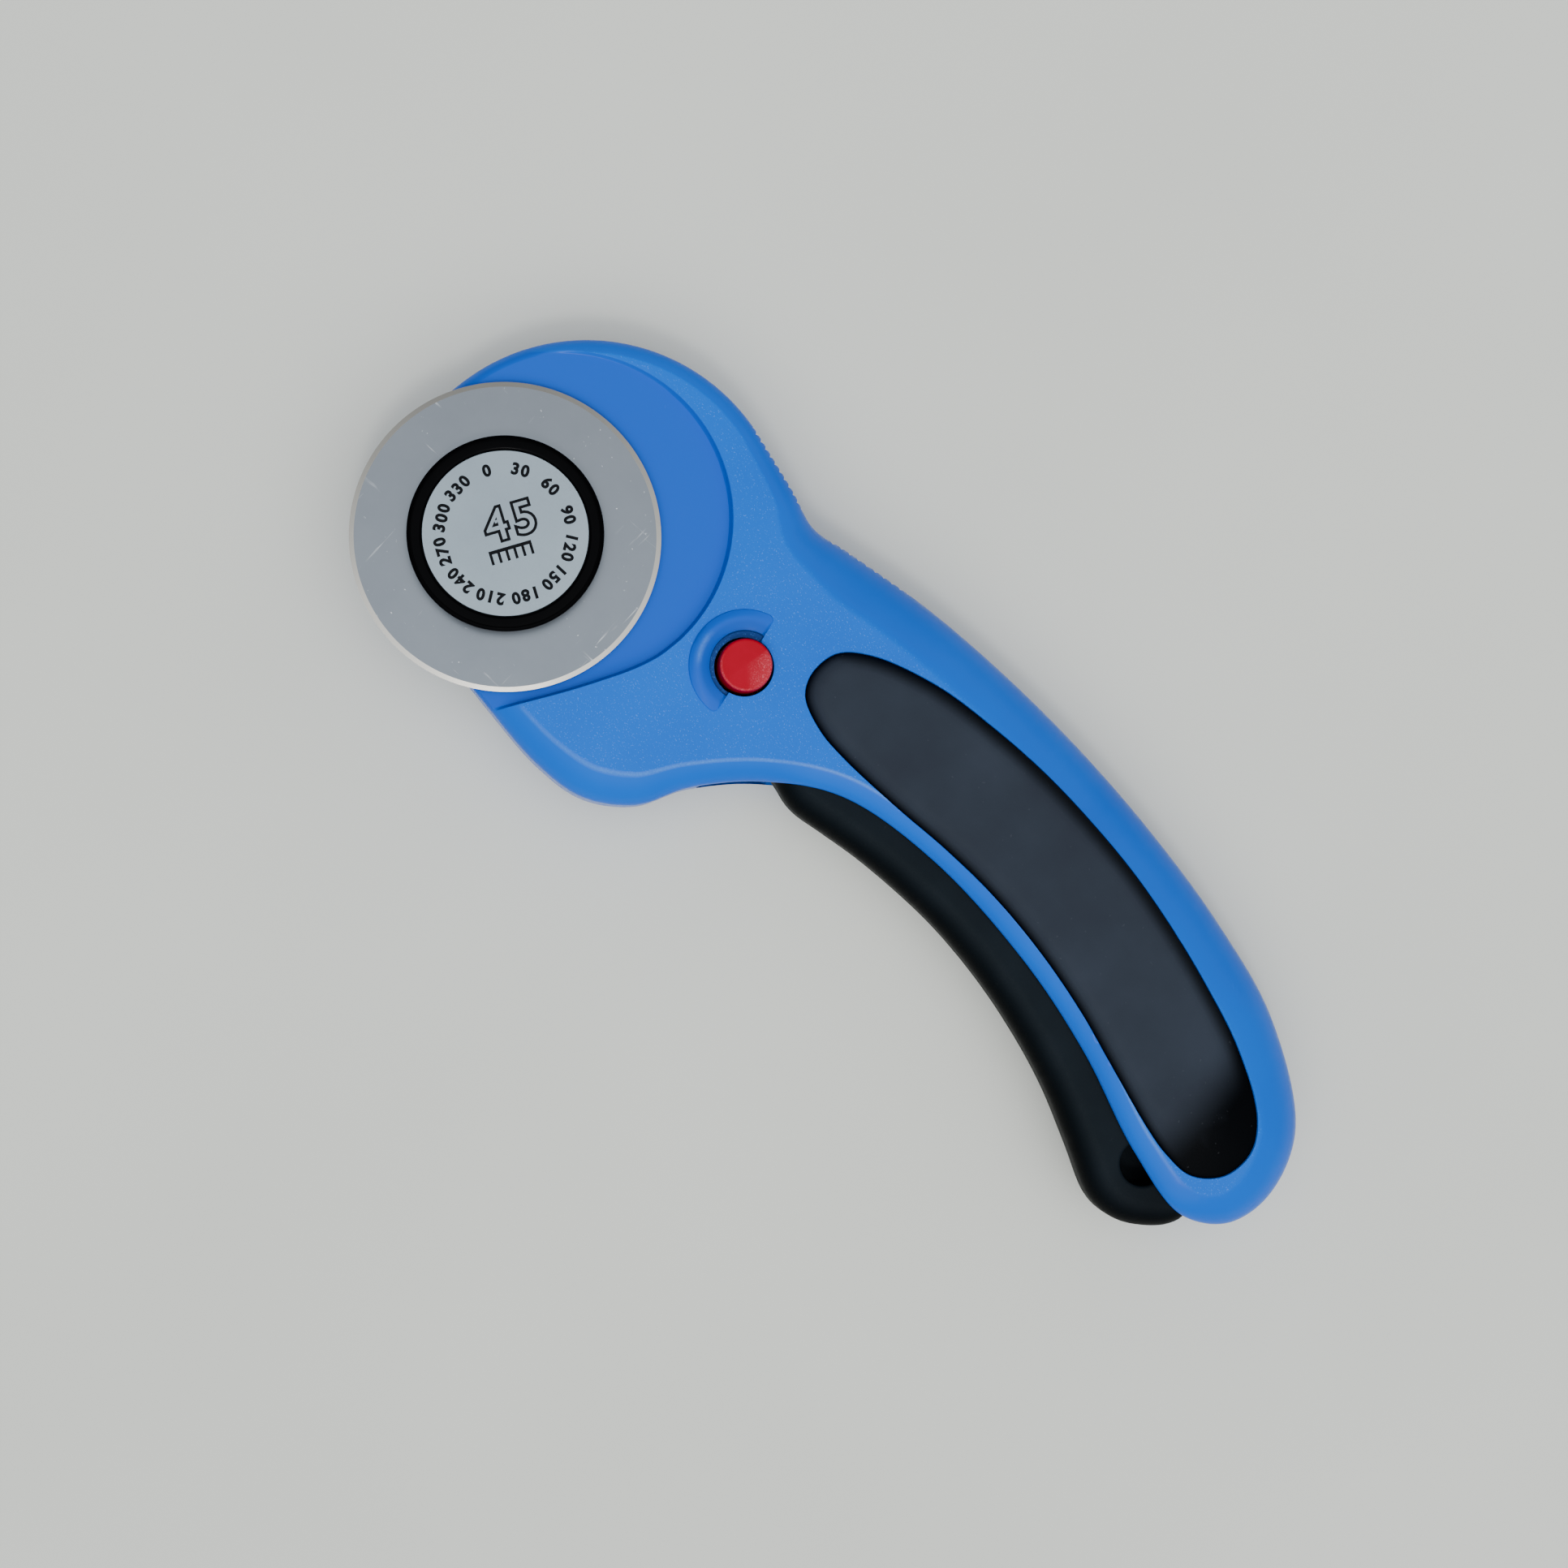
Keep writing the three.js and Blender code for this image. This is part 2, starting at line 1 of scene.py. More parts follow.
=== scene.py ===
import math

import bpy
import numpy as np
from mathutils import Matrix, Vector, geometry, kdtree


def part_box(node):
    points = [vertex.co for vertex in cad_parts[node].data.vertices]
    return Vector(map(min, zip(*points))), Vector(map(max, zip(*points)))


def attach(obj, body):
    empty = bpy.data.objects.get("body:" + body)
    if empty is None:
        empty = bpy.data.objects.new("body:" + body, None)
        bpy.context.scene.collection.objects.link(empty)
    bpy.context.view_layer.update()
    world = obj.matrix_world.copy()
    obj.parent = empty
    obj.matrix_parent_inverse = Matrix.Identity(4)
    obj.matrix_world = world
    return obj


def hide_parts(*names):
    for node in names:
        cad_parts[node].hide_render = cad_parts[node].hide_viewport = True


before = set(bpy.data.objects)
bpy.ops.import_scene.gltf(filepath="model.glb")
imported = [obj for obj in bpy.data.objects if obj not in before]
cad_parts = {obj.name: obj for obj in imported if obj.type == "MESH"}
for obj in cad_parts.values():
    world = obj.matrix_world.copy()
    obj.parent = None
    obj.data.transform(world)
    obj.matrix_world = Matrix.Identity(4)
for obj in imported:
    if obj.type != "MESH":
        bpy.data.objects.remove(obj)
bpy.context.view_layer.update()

# Looks of a rotary cutter: a round blade on a squeeze-trigger lever, between two handle shells.
#
# Shapes are drawn in millimetres on the plan that the CAD part uses: the blade's pin is at
# (0, 0), +X runs to the butt of the handle, +Y to the spine and +Z out of the blade's face.
# Most pieces are plates: two height fields over one outline, joined by upright walls.

MM = 0.001
BLADE_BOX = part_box("blade")
PIN_PLACE = (BLADE_BOX[0] + BLADE_BOX[1]) / 2

# ---------- Dimensions ----------

# The shells' outer faces, the seam between them, and the heights of the hollow inside.
BACK_FACE = 1.0
FRONT_FACE = 19.0
SHELL_SEAM = (10.85, 11.15)
SIDE_WALL = 2.4
RECESS_FLOOR = 16.8
HEAD_BACK = 5.3
HEAD_INSIDE = (7.3, 15.0)
HANDLE_INSIDE = (3.0, 17.0)
HANDLE_INSIDE_START = 31.0
# Beyond a crease with this start and direction, the front face slopes down round the head.
HEAD_SLOPE = 0.046
FACE_CREASE = np.array([28.9, 19.2])
FACE_CREASE_WAY = np.array([3.0, 9.0]) / math.hypot(3, 9)
# This share of a shell's rounding is a plain slope. The back's rounding stays within limits.
SLOPE_SHARE = 0.35
BACK_ROUNDING = (3.6, 3.4)

BLADE_RADIUS = 22.45
BLADE_HEIGHT = 18.0
BEVEL_WIDTH = 0.7
PIN_BORE = 4.05
PIVOT = (33.0, -12.5)
SWING = 12.0
LEVER_PLATE = (8.0, 14.5)
BUTTON = (38.1, 9.4)
BUTTON_RADIUS = 4.0
BUTTON_WAIST = 2.6
BUTTON_TOP = 20.9
BUTTON_SLOT = 4.5
# The button rests on one side of its bore, so the bore has its own middle.
BORE_MIDDLE = (38.1, 9.2)
BORE_RADIUS = 4.35
END_RECESS = (130.4, -5.3, 3.3)
END_RECESS_FLOOR = 9.5
# The half ring beside the button: its inner edge, crest and outer edge.
CRESCENT = (5.15, 6.9, 8.2)
CRESCENT_MIDDLE = 190.0
CRESCENT_WAY = np.array([math.cos(math.radians(CRESCENT_MIDDLE)), math.sin(math.radians(CRESCENT_MIDDLE))])
CRESCENT_CORNER = 0.8

# The disc in the pin's head: its turn, and the places of its big number and its scale.
HEAD_TOP = 22.3
DISC_TURN = 59.0
DISC_NUMBER = (-0.8, 1.6)
DISC_SCALE = (2.5, -1.5)
DIAL_RADIUS = 9.35
PRINT_THICKNESS = 0.03

HEAD_ARC = (8.8, 8.2, 29.17)
RECESS_ARC = (4.3, 7.9, 24.35)
RECESS_CORNER = [
    (9.9, -29.4), (15.4, -20.2), (21.6, -10.5), (24.1, -6.2), (26.4, -1.9), (27.9, 2.0), (28.6, 6.0),
]
NUT_STEP_ARC = (2.0, 3.5, 24.0)
SCREWS = {"head": (24.5, 27.0), "neck": (44.0, 25.5), "butt": (143.8, 5.5)}
SCREW_RADIUS = 1.3
SCREW_HEAD_RADIUS = 2.5
# Posts inside the shells: the screws', the pivot's and the sleeve of the button.
POSTS = [*[(centre, 3.4) for centre in SCREWS.values()], (PIVOT, 4.0), (BUTTON, 6.2)]
# The floors of the pads' pockets, and each pad's underside, rim and crown.
FRONT_POCKET, BACK_POCKET = 18.25, 1.85
FRONT_PAD = (18.27, 18.85, 20.6)
BACK_PAD = (1.83, 1.15, 0.02)

# The handle's edge: x, y, then the width and the height of its rounding.
HANDLE_EDGE = [
    (-15.3, -8.8, 1.8, 1.8), (-9.5, -14, 1.8, 1.8), (-2, -17.1, 1.8, 1.8),
    (13.5, -19.8, 3.6, 3.4), (25.5, -21.3, 4.4, 4), (33.5, -20.4, 4.8, 4.2),
    (40, -16, 4.6, 4), (44, -9, 3.6, 3.4), (51.5, -1, 3.2, 3.2), (61.5, 5, 3, 3),
    (77.5, 7, 2.8, 3), (97.5, 5, 2.8, 3), (113, 1, 2.8, 3), (128, -4.8, 3, 3.2),
    (139.5, -7.1, 4, 3.8), (146.3, -3.4, 5.6, 5.2), (148.7, 4, 6.6, 6.4),
    (145.5, 14, 7.2, 6.9), (131.6, 24.2, 8, 7.2), (116.6, 29.2, 8, 7.2), (101, 32.4, 8, 7.2),
    (85, 34.4, 8, 7.2), (69, 35.2, 8, 7.2), (53, 34.8, 8, 7.2), (38, 32.9, 7.6, 6.8),
    (32, 31.8, 5.6, 5.4), (26.4, 33.5, 3.6, 3.4),
]
PAD_EDGE = [
    (46, 15.6), (46.8, 13), (48.2, 11.5), (52.8, 9.7), (57.8, 9.1), (67.8, 9), (77.9, 9.3),
    (87.9, 8.9), (97.8, 7.5), (107.6, 5.2), (117.1, 2.1), (126.6, -1), (131.5, -2.1), (136.4, -2),
    (140.2, 1.3), (140.9, 6.5), (138.1, 11), (129.6, 16.4), (120.1, 20.1), (110.7, 23),
    (100.9, 25.3), (90.9, 26.7), (80.9, 27.4), (70.9, 27.2), (61, 26.2), (50.9, 23), (46.8, 19.7),
]
# The trigger's edge, with its root at the neck: x, y and the size of its rounding.
TRIGGER_EDGE = [
    (44.6, -5.6, 2.4), (48.4, -1.5, 2.6), (51.4, 0.3, 3), (53.6, -0.15, 3.8), (56.2, -0.95, 4.2),
    (58.6, -1.1, 4.2), (62.9, -0.55, 4.2), (70, 0.25, 4.2), (80, 0.5, 4.2), (86.8, 0.1, 4.2),
    (96, -1.35, 4.2), (105.2, -3.75, 4.2), (113, -6.55, 4.2), (121, -10.4, 4.2),
    (128, -13.9, 4.2), (131.2, -14.25, 4.2), (135, -13.3, 4.2), (139.6, -9.6, 3.6),
    (140.6, -6.5, 2.6), (137.4, -2.4, 1), (128, -1, 0.6), (113, 4.8, 0.6), (97, 8.8, 0.6),
    (77, 10.8, 0.6), (60, 9.2, 0.6), (50, 7, 0.6), (44, 2.5, 0.6), (42.6, -2.6, 1.2),
]
ROOT_EDGE = [
    (38.4, -13.4), (42.6, -8.2), (48, -2.4), (52, 1), (54, 5), (46, 6), (38, 0), (35.5, -6.5),
]
TRIGGER_SPAN = (5.5, 16.5)
# Along the trigger the shells have no side wall, only a lip. It starts at the first x, is
# whole between the next two and ends at the last.
LIP_REACH = (51, 58, 135, 144)
LIP_TOP = 9
LIP_DROP = 1.85
LIP_THICKNESS = 0.15
# Where fingers and thumb grip the spine: start, end, and the length of one tooth.
SERRATIONS = [((29, 32.5), (15.3, 36.6), 1.27), ((49, 34.1), (34, 32.1), 1.5)]
SERRATION_DEPTH = 0.45

# ---------- Curves on the plan ----------


def spline(points, closed=True, steps=24):
    """A centripetal Catmull-Rom curve. The first two channels of a point are its place."""
    p = np.array(points, float)
    ends = (p[-1:], p[:2]) if closed else (2 * p[:1] - p[1:2], 2 * p[-1:] - p[-2:-1])
    ring = np.vstack([ends[0], p, ends[1]])
    u = np.linspace(0, 1, steps, endpoint=False)[:, None]
    spans = []
    for p0, p1, p2, p3 in zip(ring, ring[1:], ring[2:], ring[3:]):
        d0, d1, d2 = (math.sqrt(math.dist(a[:2], b[:2])) for a, b in ((p0, p1), (p1, p2), (p2, p3)))
        leave = (p2 - p1) + d1 * ((p1 - p0) / d0 - (p2 - p0) / (d0 + d1))
        arrive = (p2 - p1) + d1 * ((p3 - p2) / d2 - (p3 - p1) / (d1 + d2))
        spans.append(
            (2 * u**3 - 3 * u**2 + 1) * p1 + (u**3 - 2 * u**2 + u) * leave
            + (3 * u**2 - 2 * u**3) * p2 + (u**3 - u**2) * arrive
        )
    curve = np.vstack(spans)
    return curve if closed else np.vstack([curve, p[-1:]])


def ease(t, start, end):
    """0 before start, 1 after end, smooth between."""
    u = np.clip((t - start) / (end - start), 0, 1)
    return u * u * (3 - 2 * u)


def jump(t, at=0.0, half=0.05):
    """0 before a place and 1 after it, with a short steep slope between."""
    return ease(t, at - half, at + half)


def band(t, start, full, fading, end):
    """1 from full to fading, 0 outside start and end."""
    return ease(t, start, full) * (1 - ease(t, fading, end))


def arc(centre, radius, start, end, steps):
    angle = np.radians(np.linspace(start, end, steps + 1))
    return np.column_stack([centre[0] + radius * np.cos(angle), centre[1] + radius * np.sin(angle)])


def circle(centre, radius, steps=48):
    return arc(centre, radius, 0, 360, steps)[:-1]


def run_length(edge):
    closed = np.vstack([edge, edge[:1]])
    return closed, np.concatenate([[0], np.cumsum(np.linalg.norm(np.diff(closed[:, :2], axis=0), axis=1))])


def spaced(edge, spacing):
    """A closed edge again, with even spacing."""
    closed, run = run_length(edge)
    at = np.linspace(0, run[-1], max(8, round(run[-1] / spacing)), endpoint=False)
    return np.column_stack([np.interp(at, run, channel) for channel in closed.T])


def inset(edge, distance):
    """A counter-clockwise edge moved inwards by one distance, or by one for each point."""
    along = np.roll(edge, -1, 0)[:, :2] - np.roll(edge, 1, 0)[:, :2]
    along /= np.linalg.norm(along, axis=1)[:, None]
    return edge[:, :2] + np.column_stack([-along[:, 1], along[:, 0]]) * np.reshape(distance, (-1, 1))


def turn_about(edge, centre, degrees):
    c, s = math.cos(math.radians(degrees)), math.sin(math.radians(degrees))
    x, y = edge[:, 0] - centre[0], edge[:, 1] - centre[1]
    return np.column_stack([centre[0] + c * x - s * y, centre[1] + s * x + c * y])


def nearest(edge, spots):
    """How far each spot is inside a closed edge, and the edge's other channels at its nearest place."""
    along = np.roll(edge, -1, 0) - edge
    length = (along[:, :2] ** 2).sum(1)
    rise = np.where(along[:, 1] == 0, 1e-12, along[:, 1])
    found = []
    for batch in np.array_split(spots, max(1, len(spots) // 1500)):
        away = batch[:, None, :] - edge[None, :, :2]
        share = np.clip((away * along[None, :, :2]).sum(2) / length, 0, 1)
        gap = ((away - share[..., None] * along[None, :, :2]) ** 2).sum(2)
        pick = gap.argmin(1)
        rows = np.arange(len(batch))
        above = edge[None, :, 1] > batch[:, 1:2]
        crosses = above != (edge[None, :, 1] + along[None, :, 1] > batch[:, 1:2])
        meets = edge[None, :, 0] - away[..., 1] * -along[None, :, 0] / rise
        inside = (crosses & (batch[:, :1] < meets)).sum(1) % 2 == 1
        distance = np.sqrt(gap[rows, pick]) * np.where(inside, 1, -1)
        channels = edge[pick, 2:] + share[rows, pick][:, None] * along[pick, 2:]
        found.append(np.column_stack([distance, channels]))
    return np.vstack(found)


def depth_in(edge, spots):
    """How far each spot is inside a closed edge."""
    return nearest(edge, spots)[:, 0]


def away_from(centre, spots):
    """How far each spot is from one place."""
    return np.linalg.norm(spots - np.array(centre), axis=1)


def curved_slot(centre, radius, start, end, half_width):
    first, last = arc(centre, radius, start, end, 1)
    return np.vstack([
        arc(first, half_width, start - 180, start, 10),
        arc(centre, radius + half_width, start, end, 8)[1:-1],
        arc(last, half_width, end, end + 180, 10),
        arc(centre, radius - half_width, end, start, 8)[1:-1],
    ])


def tapered_bar(a, radius_a, b, radius_b):
    along = math.degrees(math.atan2(b[1] - a[1], b[0] - a[0]))
    lean = math.degrees(math.acos((radius_a - radius_b) / math.dist(a, b)))
    return np.vstack([
        arc(a, radius_a, along + lean, along + 360 - lean, 16),
        arc(b, radius_b, along - lean, along + lean, 12),
    ])


# ---------- Outlines ----------


def body_edge():
    """The shells' outline, with the width and the height of its rounding."""
    head = arc(HEAD_ARC, HEAD_ARC[2], 74, 200, 90)
    share = np.linspace(0, 1, len(head))[:, None]
    head = np.hstack([head, 2.6 - 0.8 * share, 2.4 - 0.6 * share])
    handle = spline([tuple(head[-1]), *HANDLE_EDGE, tuple(head[0])], closed=False)
    lip = band(handle[:, 0], *LIP_REACH) * (handle[:, 1] < LIP_TOP)
    handle[:, 3] += (LIP_DROP - handle[:, 3]) * lip
    return np.vstack([handle, head[1:-1]])


def serrated(edge):
    """The body's edge with rows of small rounded teeth pressed into it."""
    closed, run = run_length(edge)
    plain, teeth = np.arange(0, run[-1], 0.8), []
    for start, end, pitch in SERRATIONS:
        first, last = (run[away_from(spot, edge[:, :2]).argmin()] for spot in (start, end))
        row = np.linspace(first, last, round((last - first) / pitch) * 6 + 1)
        press = SERRATION_DEPTH * (1 - np.abs(np.sin(math.pi * (row - first) / (row[6] - first))))
        press[[0, -1]] = 0
        plain = plain[(plain < first - 0.3) | (plain > last + 0.3)]
        teeth.append(np.column_stack([row, press]))
    at = np.vstack([np.column_stack([plain, np.zeros(len(plain))]), *teeth])
    at = at[np.argsort(at[:, 0])]
    place = np.column_stack([np.interp(at[:, 0], run, channel) for channel in closed.T])
    return inset(place, at[:, 1])


def recess_edge():
    corner = spline(RECESS_CORNER, closed=False)
    return np.vstack([arc(RECESS_ARC, RECESS_ARC[2], 0, 130, 90), [(-26, 13.6), (-26, -29.4)], corner])


def crescent_edge():
    """The raised half ring beside the button: round outer corners, sharp inner ones."""
    inner, _, outer = CRESCENT
    start = CRESCENT_MIDDLE - 90
    reach = outer - CRESCENT_CORNER
    lean = math.degrees(math.asin(CRESCENT_CORNER / reach))
    first, last = arc(BUTTON, reach, start + lean, start + 180 - lean, 1)
    return np.vstack([
        arc(first, CRESCENT_CORNER, start - 90, start + lean, 8),
        arc(BUTTON, outer, start + lean, start + 180 - lean, 60)[1:-1],
        arc(last, CRESCENT_CORNER, start + 180 - lean, start + 270, 8),
        arc(BUTTON, inner, start + 180, start, 40),
    ])


def nut_step_edge():
    """The part of the back that steps in for the nut: round on the handle's side."""
    curve = arc(NUT_STEP_ARC, NUT_STEP_ARC[2], -60, 60, 40)
    return np.vstack([curve, [(-8, 43), (-50, 43), (-50, -38), (-8, -38)]])


BODY = spaced(body_edge(), 0.8)
BODY_RIM = serrated(body_edge())
RECESS = spaced(recess_edge(), 0.7)
NUT_STEP = spaced(nut_step_edge(), 0.7)
CRESCENT_EDGE = crescent_edge()
PAD = spaced(spline(PAD_EDGE), 0.8)
TRIGGER = spaced(spline(TRIGGER_EDGE), 0.8)
HUB_RADIUS = math.hypot(*PIVOT)
HUB_ANGLE = math.degrees(math.atan2(-PIVOT[1], -PIVOT[0])) % 360
BOLT_RADIUS = math.dist(PIVOT, BUTTON)
BOLT_ANGLE = math.degrees(math.atan2(BUTTON[1] - PIVOT[1], BUTTON[0] - PIVOT[0]))

# ---------- Height-field plates ----------


def rounding(depth, width, drop, crease=0.0):
    """How far a rounded edge has dropped, at a depth inside the outline. A crease starts it sloping."""
    u = np.clip(1 - depth / np.maximum(width, 1e-6), 0, 1)
    return drop * ((1 - crease) * (1 - np.sqrt(1 - u * u)) + crease * u)


def rounding_lines(edge, widths, steps=9):
    """Lines for an edge's rounding, closer together where it is steep."""
    angles = np.radians(np.linspace(0, 90, steps + 1)[1:])
    return [inset(edge, widths * (1 - math.cos(a))) for a in angles]


def around(edge, *distances):
    return [inset(edge, d) for d in distances]


def dots(edge, spacing):
    """Even spots over an outline's box, in rows like bricks."""
    low, high = edge[:, :2].min(0), edge[:, :2].max(0)
    xs = np.arange(low[0], high[0], spacing)
    ys = np.arange(low[1], high[1], spacing * 0.866)
    rows = [
        np.column_stack([xs + spacing * 0.5 * (i % 2), np.full(len(xs), y)])
        for i, y in enumerate(ys)
    ]
    return np.vstack(rows)


def depth_between(rims, spots):
    """How far each spot is inside an outline and outside the holes that follow it."""
    return np.min([depth_in(rims[0], spots), *[-depth_in(hole, spots) for hole in rims[1:]]], axis=0)


def surface(edge, holes, lines, spacing, height):
    """Triangles over an outline with holes, whose corners follow the lines given.

    A line is an array when it is closed, and a tuple that holds its array when it is open.
    """
    rims = [edge[:, :2], *[hole[:, :2] for hole in holes]]
    points, edges, rim_ids = [], [], []
    for rim in rims:
        ids = range(len(points), len(points) + len(rim))
        edges += zip(ids, [*ids[1:], ids[0]])
        rim_ids.append(ids)
        points += list(rim)
    for line in lines:
        closed = isinstance(line, np.ndarray)
        line = line if closed else line[0]
        keep = depth_between(rims, line[:, :2]) > 0.04
        ids = (len(points) + np.cumsum(keep) - 1).tolist()
        points += list(line[keep, :2])
        for i in range(0 if closed else 1, len(line)):
            if keep[i - 1] and keep[i]:
                edges.append((ids[i - 1], ids[i]))
    tree = kdtree.KDTree(len(points))
    for i, p in enumerate(points):
        tree.insert((p[0], p[1], 0), i)
    tree.balance()
    spots = dots(edge, spacing)
    for p in spots[depth_between(rims, spots) > spacing * 0.35]:
        if tree.find((p[0], p[1], 0))[2] > spacing * 0.45:
            points.append(p)
    made = geometry.delaunay_2d_cdt([Vector(p) for p in points], edges, [], 1, 1e-6, True)
    flat = np.array([tuple(v) for v in made[0]])
    faces = np.array([f for f in made[2] if len(f) == 3])
    faces = faces[depth_between(rims, flat[faces].mean(1)) > 0]
    a, b, c = (flat[faces[:, k]] for k in range(3))
    turn = np.cross(b - a, c - a)
    faces[turn < 0] = faces[turn < 0][:, ::-1]
    place = {old: new for new, olds in enumerate(made[3]) for old in olds}
    rim_ids = [[place[i] for i in ids] for ids in rim_ids]
    return np.column_stack([flat, height(flat)]), faces, rim_ids


def plate(edge, holes, upper, lower):
    """A closed piece: upper and lower are (height function, lines, spacing of dots)."""
    top, top_faces, top_rims = surface(edge, holes, upper[1], upper[2], upper[0])
    low, low_faces, low_rims = surface(edge, holes, lower[1], lower[2], lower[0])
    verts = np.vstack([top, low])
    faces = [tuple(f) for f in top_faces] + [tuple(f[::-1] + len(top)) for f in low_faces]
    for k, (over, under) in enumerate(zip(top_rims, low_rims)):
        for i in range(len(over)):
            j = (i + 1) % len(over)
            wall = (under[i] + len(top), under[j] + len(top), over[j], over[i])
            faces.append(wall if k == 0 else wall[::-1])
    return verts, faces


def level(z):
    return lambda spots: np.full(len(spots), float(z))


def simple_plate(edge, holes, span, spacing=6.0):
    return plate(edge, holes, (level(span[1]), [], spacing), (level(span[0]), [], spacing))


def turned(profile, sides=96, centre=(0, 0)):
    """A lathe piece: (radius, height) from the bottom up, closed on the axis or in a ring."""
    verts, rings, faces = [], [], []
    angles = np.linspace(0, 2 * math.pi, sides, endpoint=False)
    for radius, height in profile:
        corners = angles if radius > 0 else angles[:1]
        rings.append(range(len(verts), len(verts) + len(corners)))
        verts += [
            (centre[0] + radius * math.cos(a), centre[1] + radius * math.sin(a), height)
            for a in corners
        ]
    for low, high in zip(rings, rings[1:]):
        for i in range(sides):
            j = (i + 1) % sides
            corners = [low[i % len(low)], low[j % len(low)], high[j % len(high)], high[i % len(high)]]
            face = tuple(dict.fromkeys(corners))
            if len(face) > 2:
                faces.append(face)
    return np.array(verts), faces


def joined(*parts):
    """Several closed shapes as one."""
    verts, faces, first = [], [], 0
    for part_verts, part_faces in parts:
        verts.append(np.asarray(part_verts, float))
        faces += [tuple(int(v) + first for v in face) for face in part_faces]
        first += len(part_verts)
    return np.vstack(verts), faces


def piece(name, shape, finish, body, replaced, sharp=32):
    """A mesh object in the row frame, riding on a CAD body and standing for CAD nodes."""
    verts, faces = shape
    mesh = bpy.data.meshes.new(name)
    place = np.asarray(verts, float) * MM + np.array([PIN_PLACE.x, PIN_PLACE.y, 0])
    mesh.from_pydata(place.tolist(), [], [tuple(int(v) for v in f) for f in faces])
    mesh.validate()
    mesh.polygons.foreach_set("use_smooth", [True] * len(mesh.polygons))
    mesh.set_sharp_from_angle(angle=math.radians(sharp))
    mesh.materials.append(finish)
    thing = bpy.data.objects.new(name, mesh)
    bpy.context.scene.collection.objects.link(thing)
    shade = thing.modifiers.new("shade", "WEIGHTED_NORMAL")
    shade.keep_sharp = True
    shade.weight = 60
    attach(thing, body)
    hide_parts(*replaced)
    return thing


def mark(thing, name, values):
    """A number for each corner point of a mesh, for its material to read."""
    attribute = thing.data.attributes.new(name, "FLOAT", "POINT")
    attribute.data.foreach_set("value", np.asarray(values, np.float32))


# ---------- Front shell ----------


def face_height(spots):
    """The front face: flat on the handle, sloping down round the head beyond a crease."""
    across = np.array([-FACE_CREASE_WAY[1], FACE_CREASE_WAY[0]])
    past = (spots - FACE_CREASE) @ across
    return FRONT_FACE - HEAD_SLOPE * np.maximum(past, 0) * ease(spots[:, 1], 3, 14)


def crescent_frame(spots):
    """How far each spot is from the button's middle, and how far towards the half ring's."""
    return away_from(BUTTON, spots), (spots - np.array(BUTTON)) @ CRESCENT_WAY


def crescent_height(spots):
    """The raised half ring beside the button, and the step down from it to the button's bore."""
    radius, side = crescent_frame(spots)
    inner, crest, outer = CRESCENT
    share = np.clip(side / np.maximum(radius, 1e-6), 0, 1) ** 1.3
    top = 0.2 + 0.7 * share
    step = 0.14 + 0.16 * share
    out = np.clip((outer - radius) / (outer - crest), 0, 1)
    climb = step + (top - step) * (1 - (1 - out) ** 2)
    fall = top - (0.1 + 0.6 * share) * np.clip((crest - radius) / (crest - inner), 0, 1) ** 1.5
    ring = np.where(radius > crest, climb, fall) * jump(depth_in(CRESCENT_EDGE, spots), 0, 0.06)
    ledge = -0.8 * jump(inner - radius, 0, 0.06) * jump(side, 0, 0.07)
    return ring + ledge


def front_height(spots):
    """The front shell's outside: its face, rounding, blade recess, pad pocket and half ring."""
    depth, width, drop = nearest(BODY, spots).T
    outer = face_height(spots) - rounding(depth, width, drop, SLOPE_SHARE)
    recess = depth_in(RECESS, spots)
    sunk = np.sin(np.clip((recess + 0.06) / 0.5, 0, 1) * math.pi / 2)
    z = outer * (1 - sunk) + np.minimum(outer, RECESS_FLOOR) * sunk
    z = z + (FRONT_POCKET - z) * ease(depth_in(PAD, spots), -0.08, 0.1)
    return z + crescent_height(spots)


def crescent_lines():
    """Lines along the half ring's edges, round its crest and across its two ends."""
    inner, crest, _ = CRESCENT
    lines = around(CRESCENT_EDGE, -0.07, 0.07)
    start = CRESCENT_MIDDLE - 90
    radii = [inner - 0.07, inner + 0.5, inner + 1.1, crest, crest + 0.45, crest + 0.9]
    lines += [(arc(BUTTON, radius, start + 3, start + 177, 44),) for radius in radii]
    across = np.array([-CRESCENT_WAY[1], CRESCENT_WAY[0]])
    for shift in (-0.08, 0.08):
        for side in (-1, 1):
            reach = np.linspace(BORE_RADIUS + 0.05, inner - 0.1, 4)[:, None] * side
            lines.append((np.array(BUTTON) + CRESCENT_WAY * shift + across * reach,))
    return lines


def front_grain(spots):
    """Where the front shell's moulding is grained: its flat faces, not roundings or recesses."""
    depth, width, _ = nearest(BODY, spots).T
    recess = ease(depth_in(RECESS, spots), -0.2, 0.1)
    ring = jump(depth_in(CRESCENT_EDGE, spots), 0, 0.1)
    return ease(depth, width * 0.9, width * 1.02) * (1 - recess) * (1 - ring)


def front_crest(spots):
    """Where highlights are painted into the front shell's colour.

    One line follows the crease beside the trigger, and a streak lies on the half ring's crest.
    """
    x, y = spots.T
    depth, width, _ = nearest(BODY, spots).T
    crease = band(depth / width, 0.82, 0.93, 0.95, 1.05) * band(x, 0, 40, 126, 137) * (y < 12)
    crease *= 1 - ease(depth_in(RECESS, spots), -0.4, -0.1)
    past = away_from(BUTTON, spots) - CRESCENT[1]
    angle = np.degrees(np.arctan2(y - BUTTON[1], x - BUTTON[0])) % 360
    streak = band(past, -0.1, 0.15, 0.2, 0.5) * band(angle, 172, 190, 208, 226)
    return 0.7 * crease + 1.5 * streak


def grip_room():
    """The edges of the space that the trigger's grip sweeps, between the shells."""
    outline = spaced(TRIGGER, 2.0)
    return [turn_about(inset(outline, -0.6), PIVOT, -SWING * third / 3) for third in range(4)]


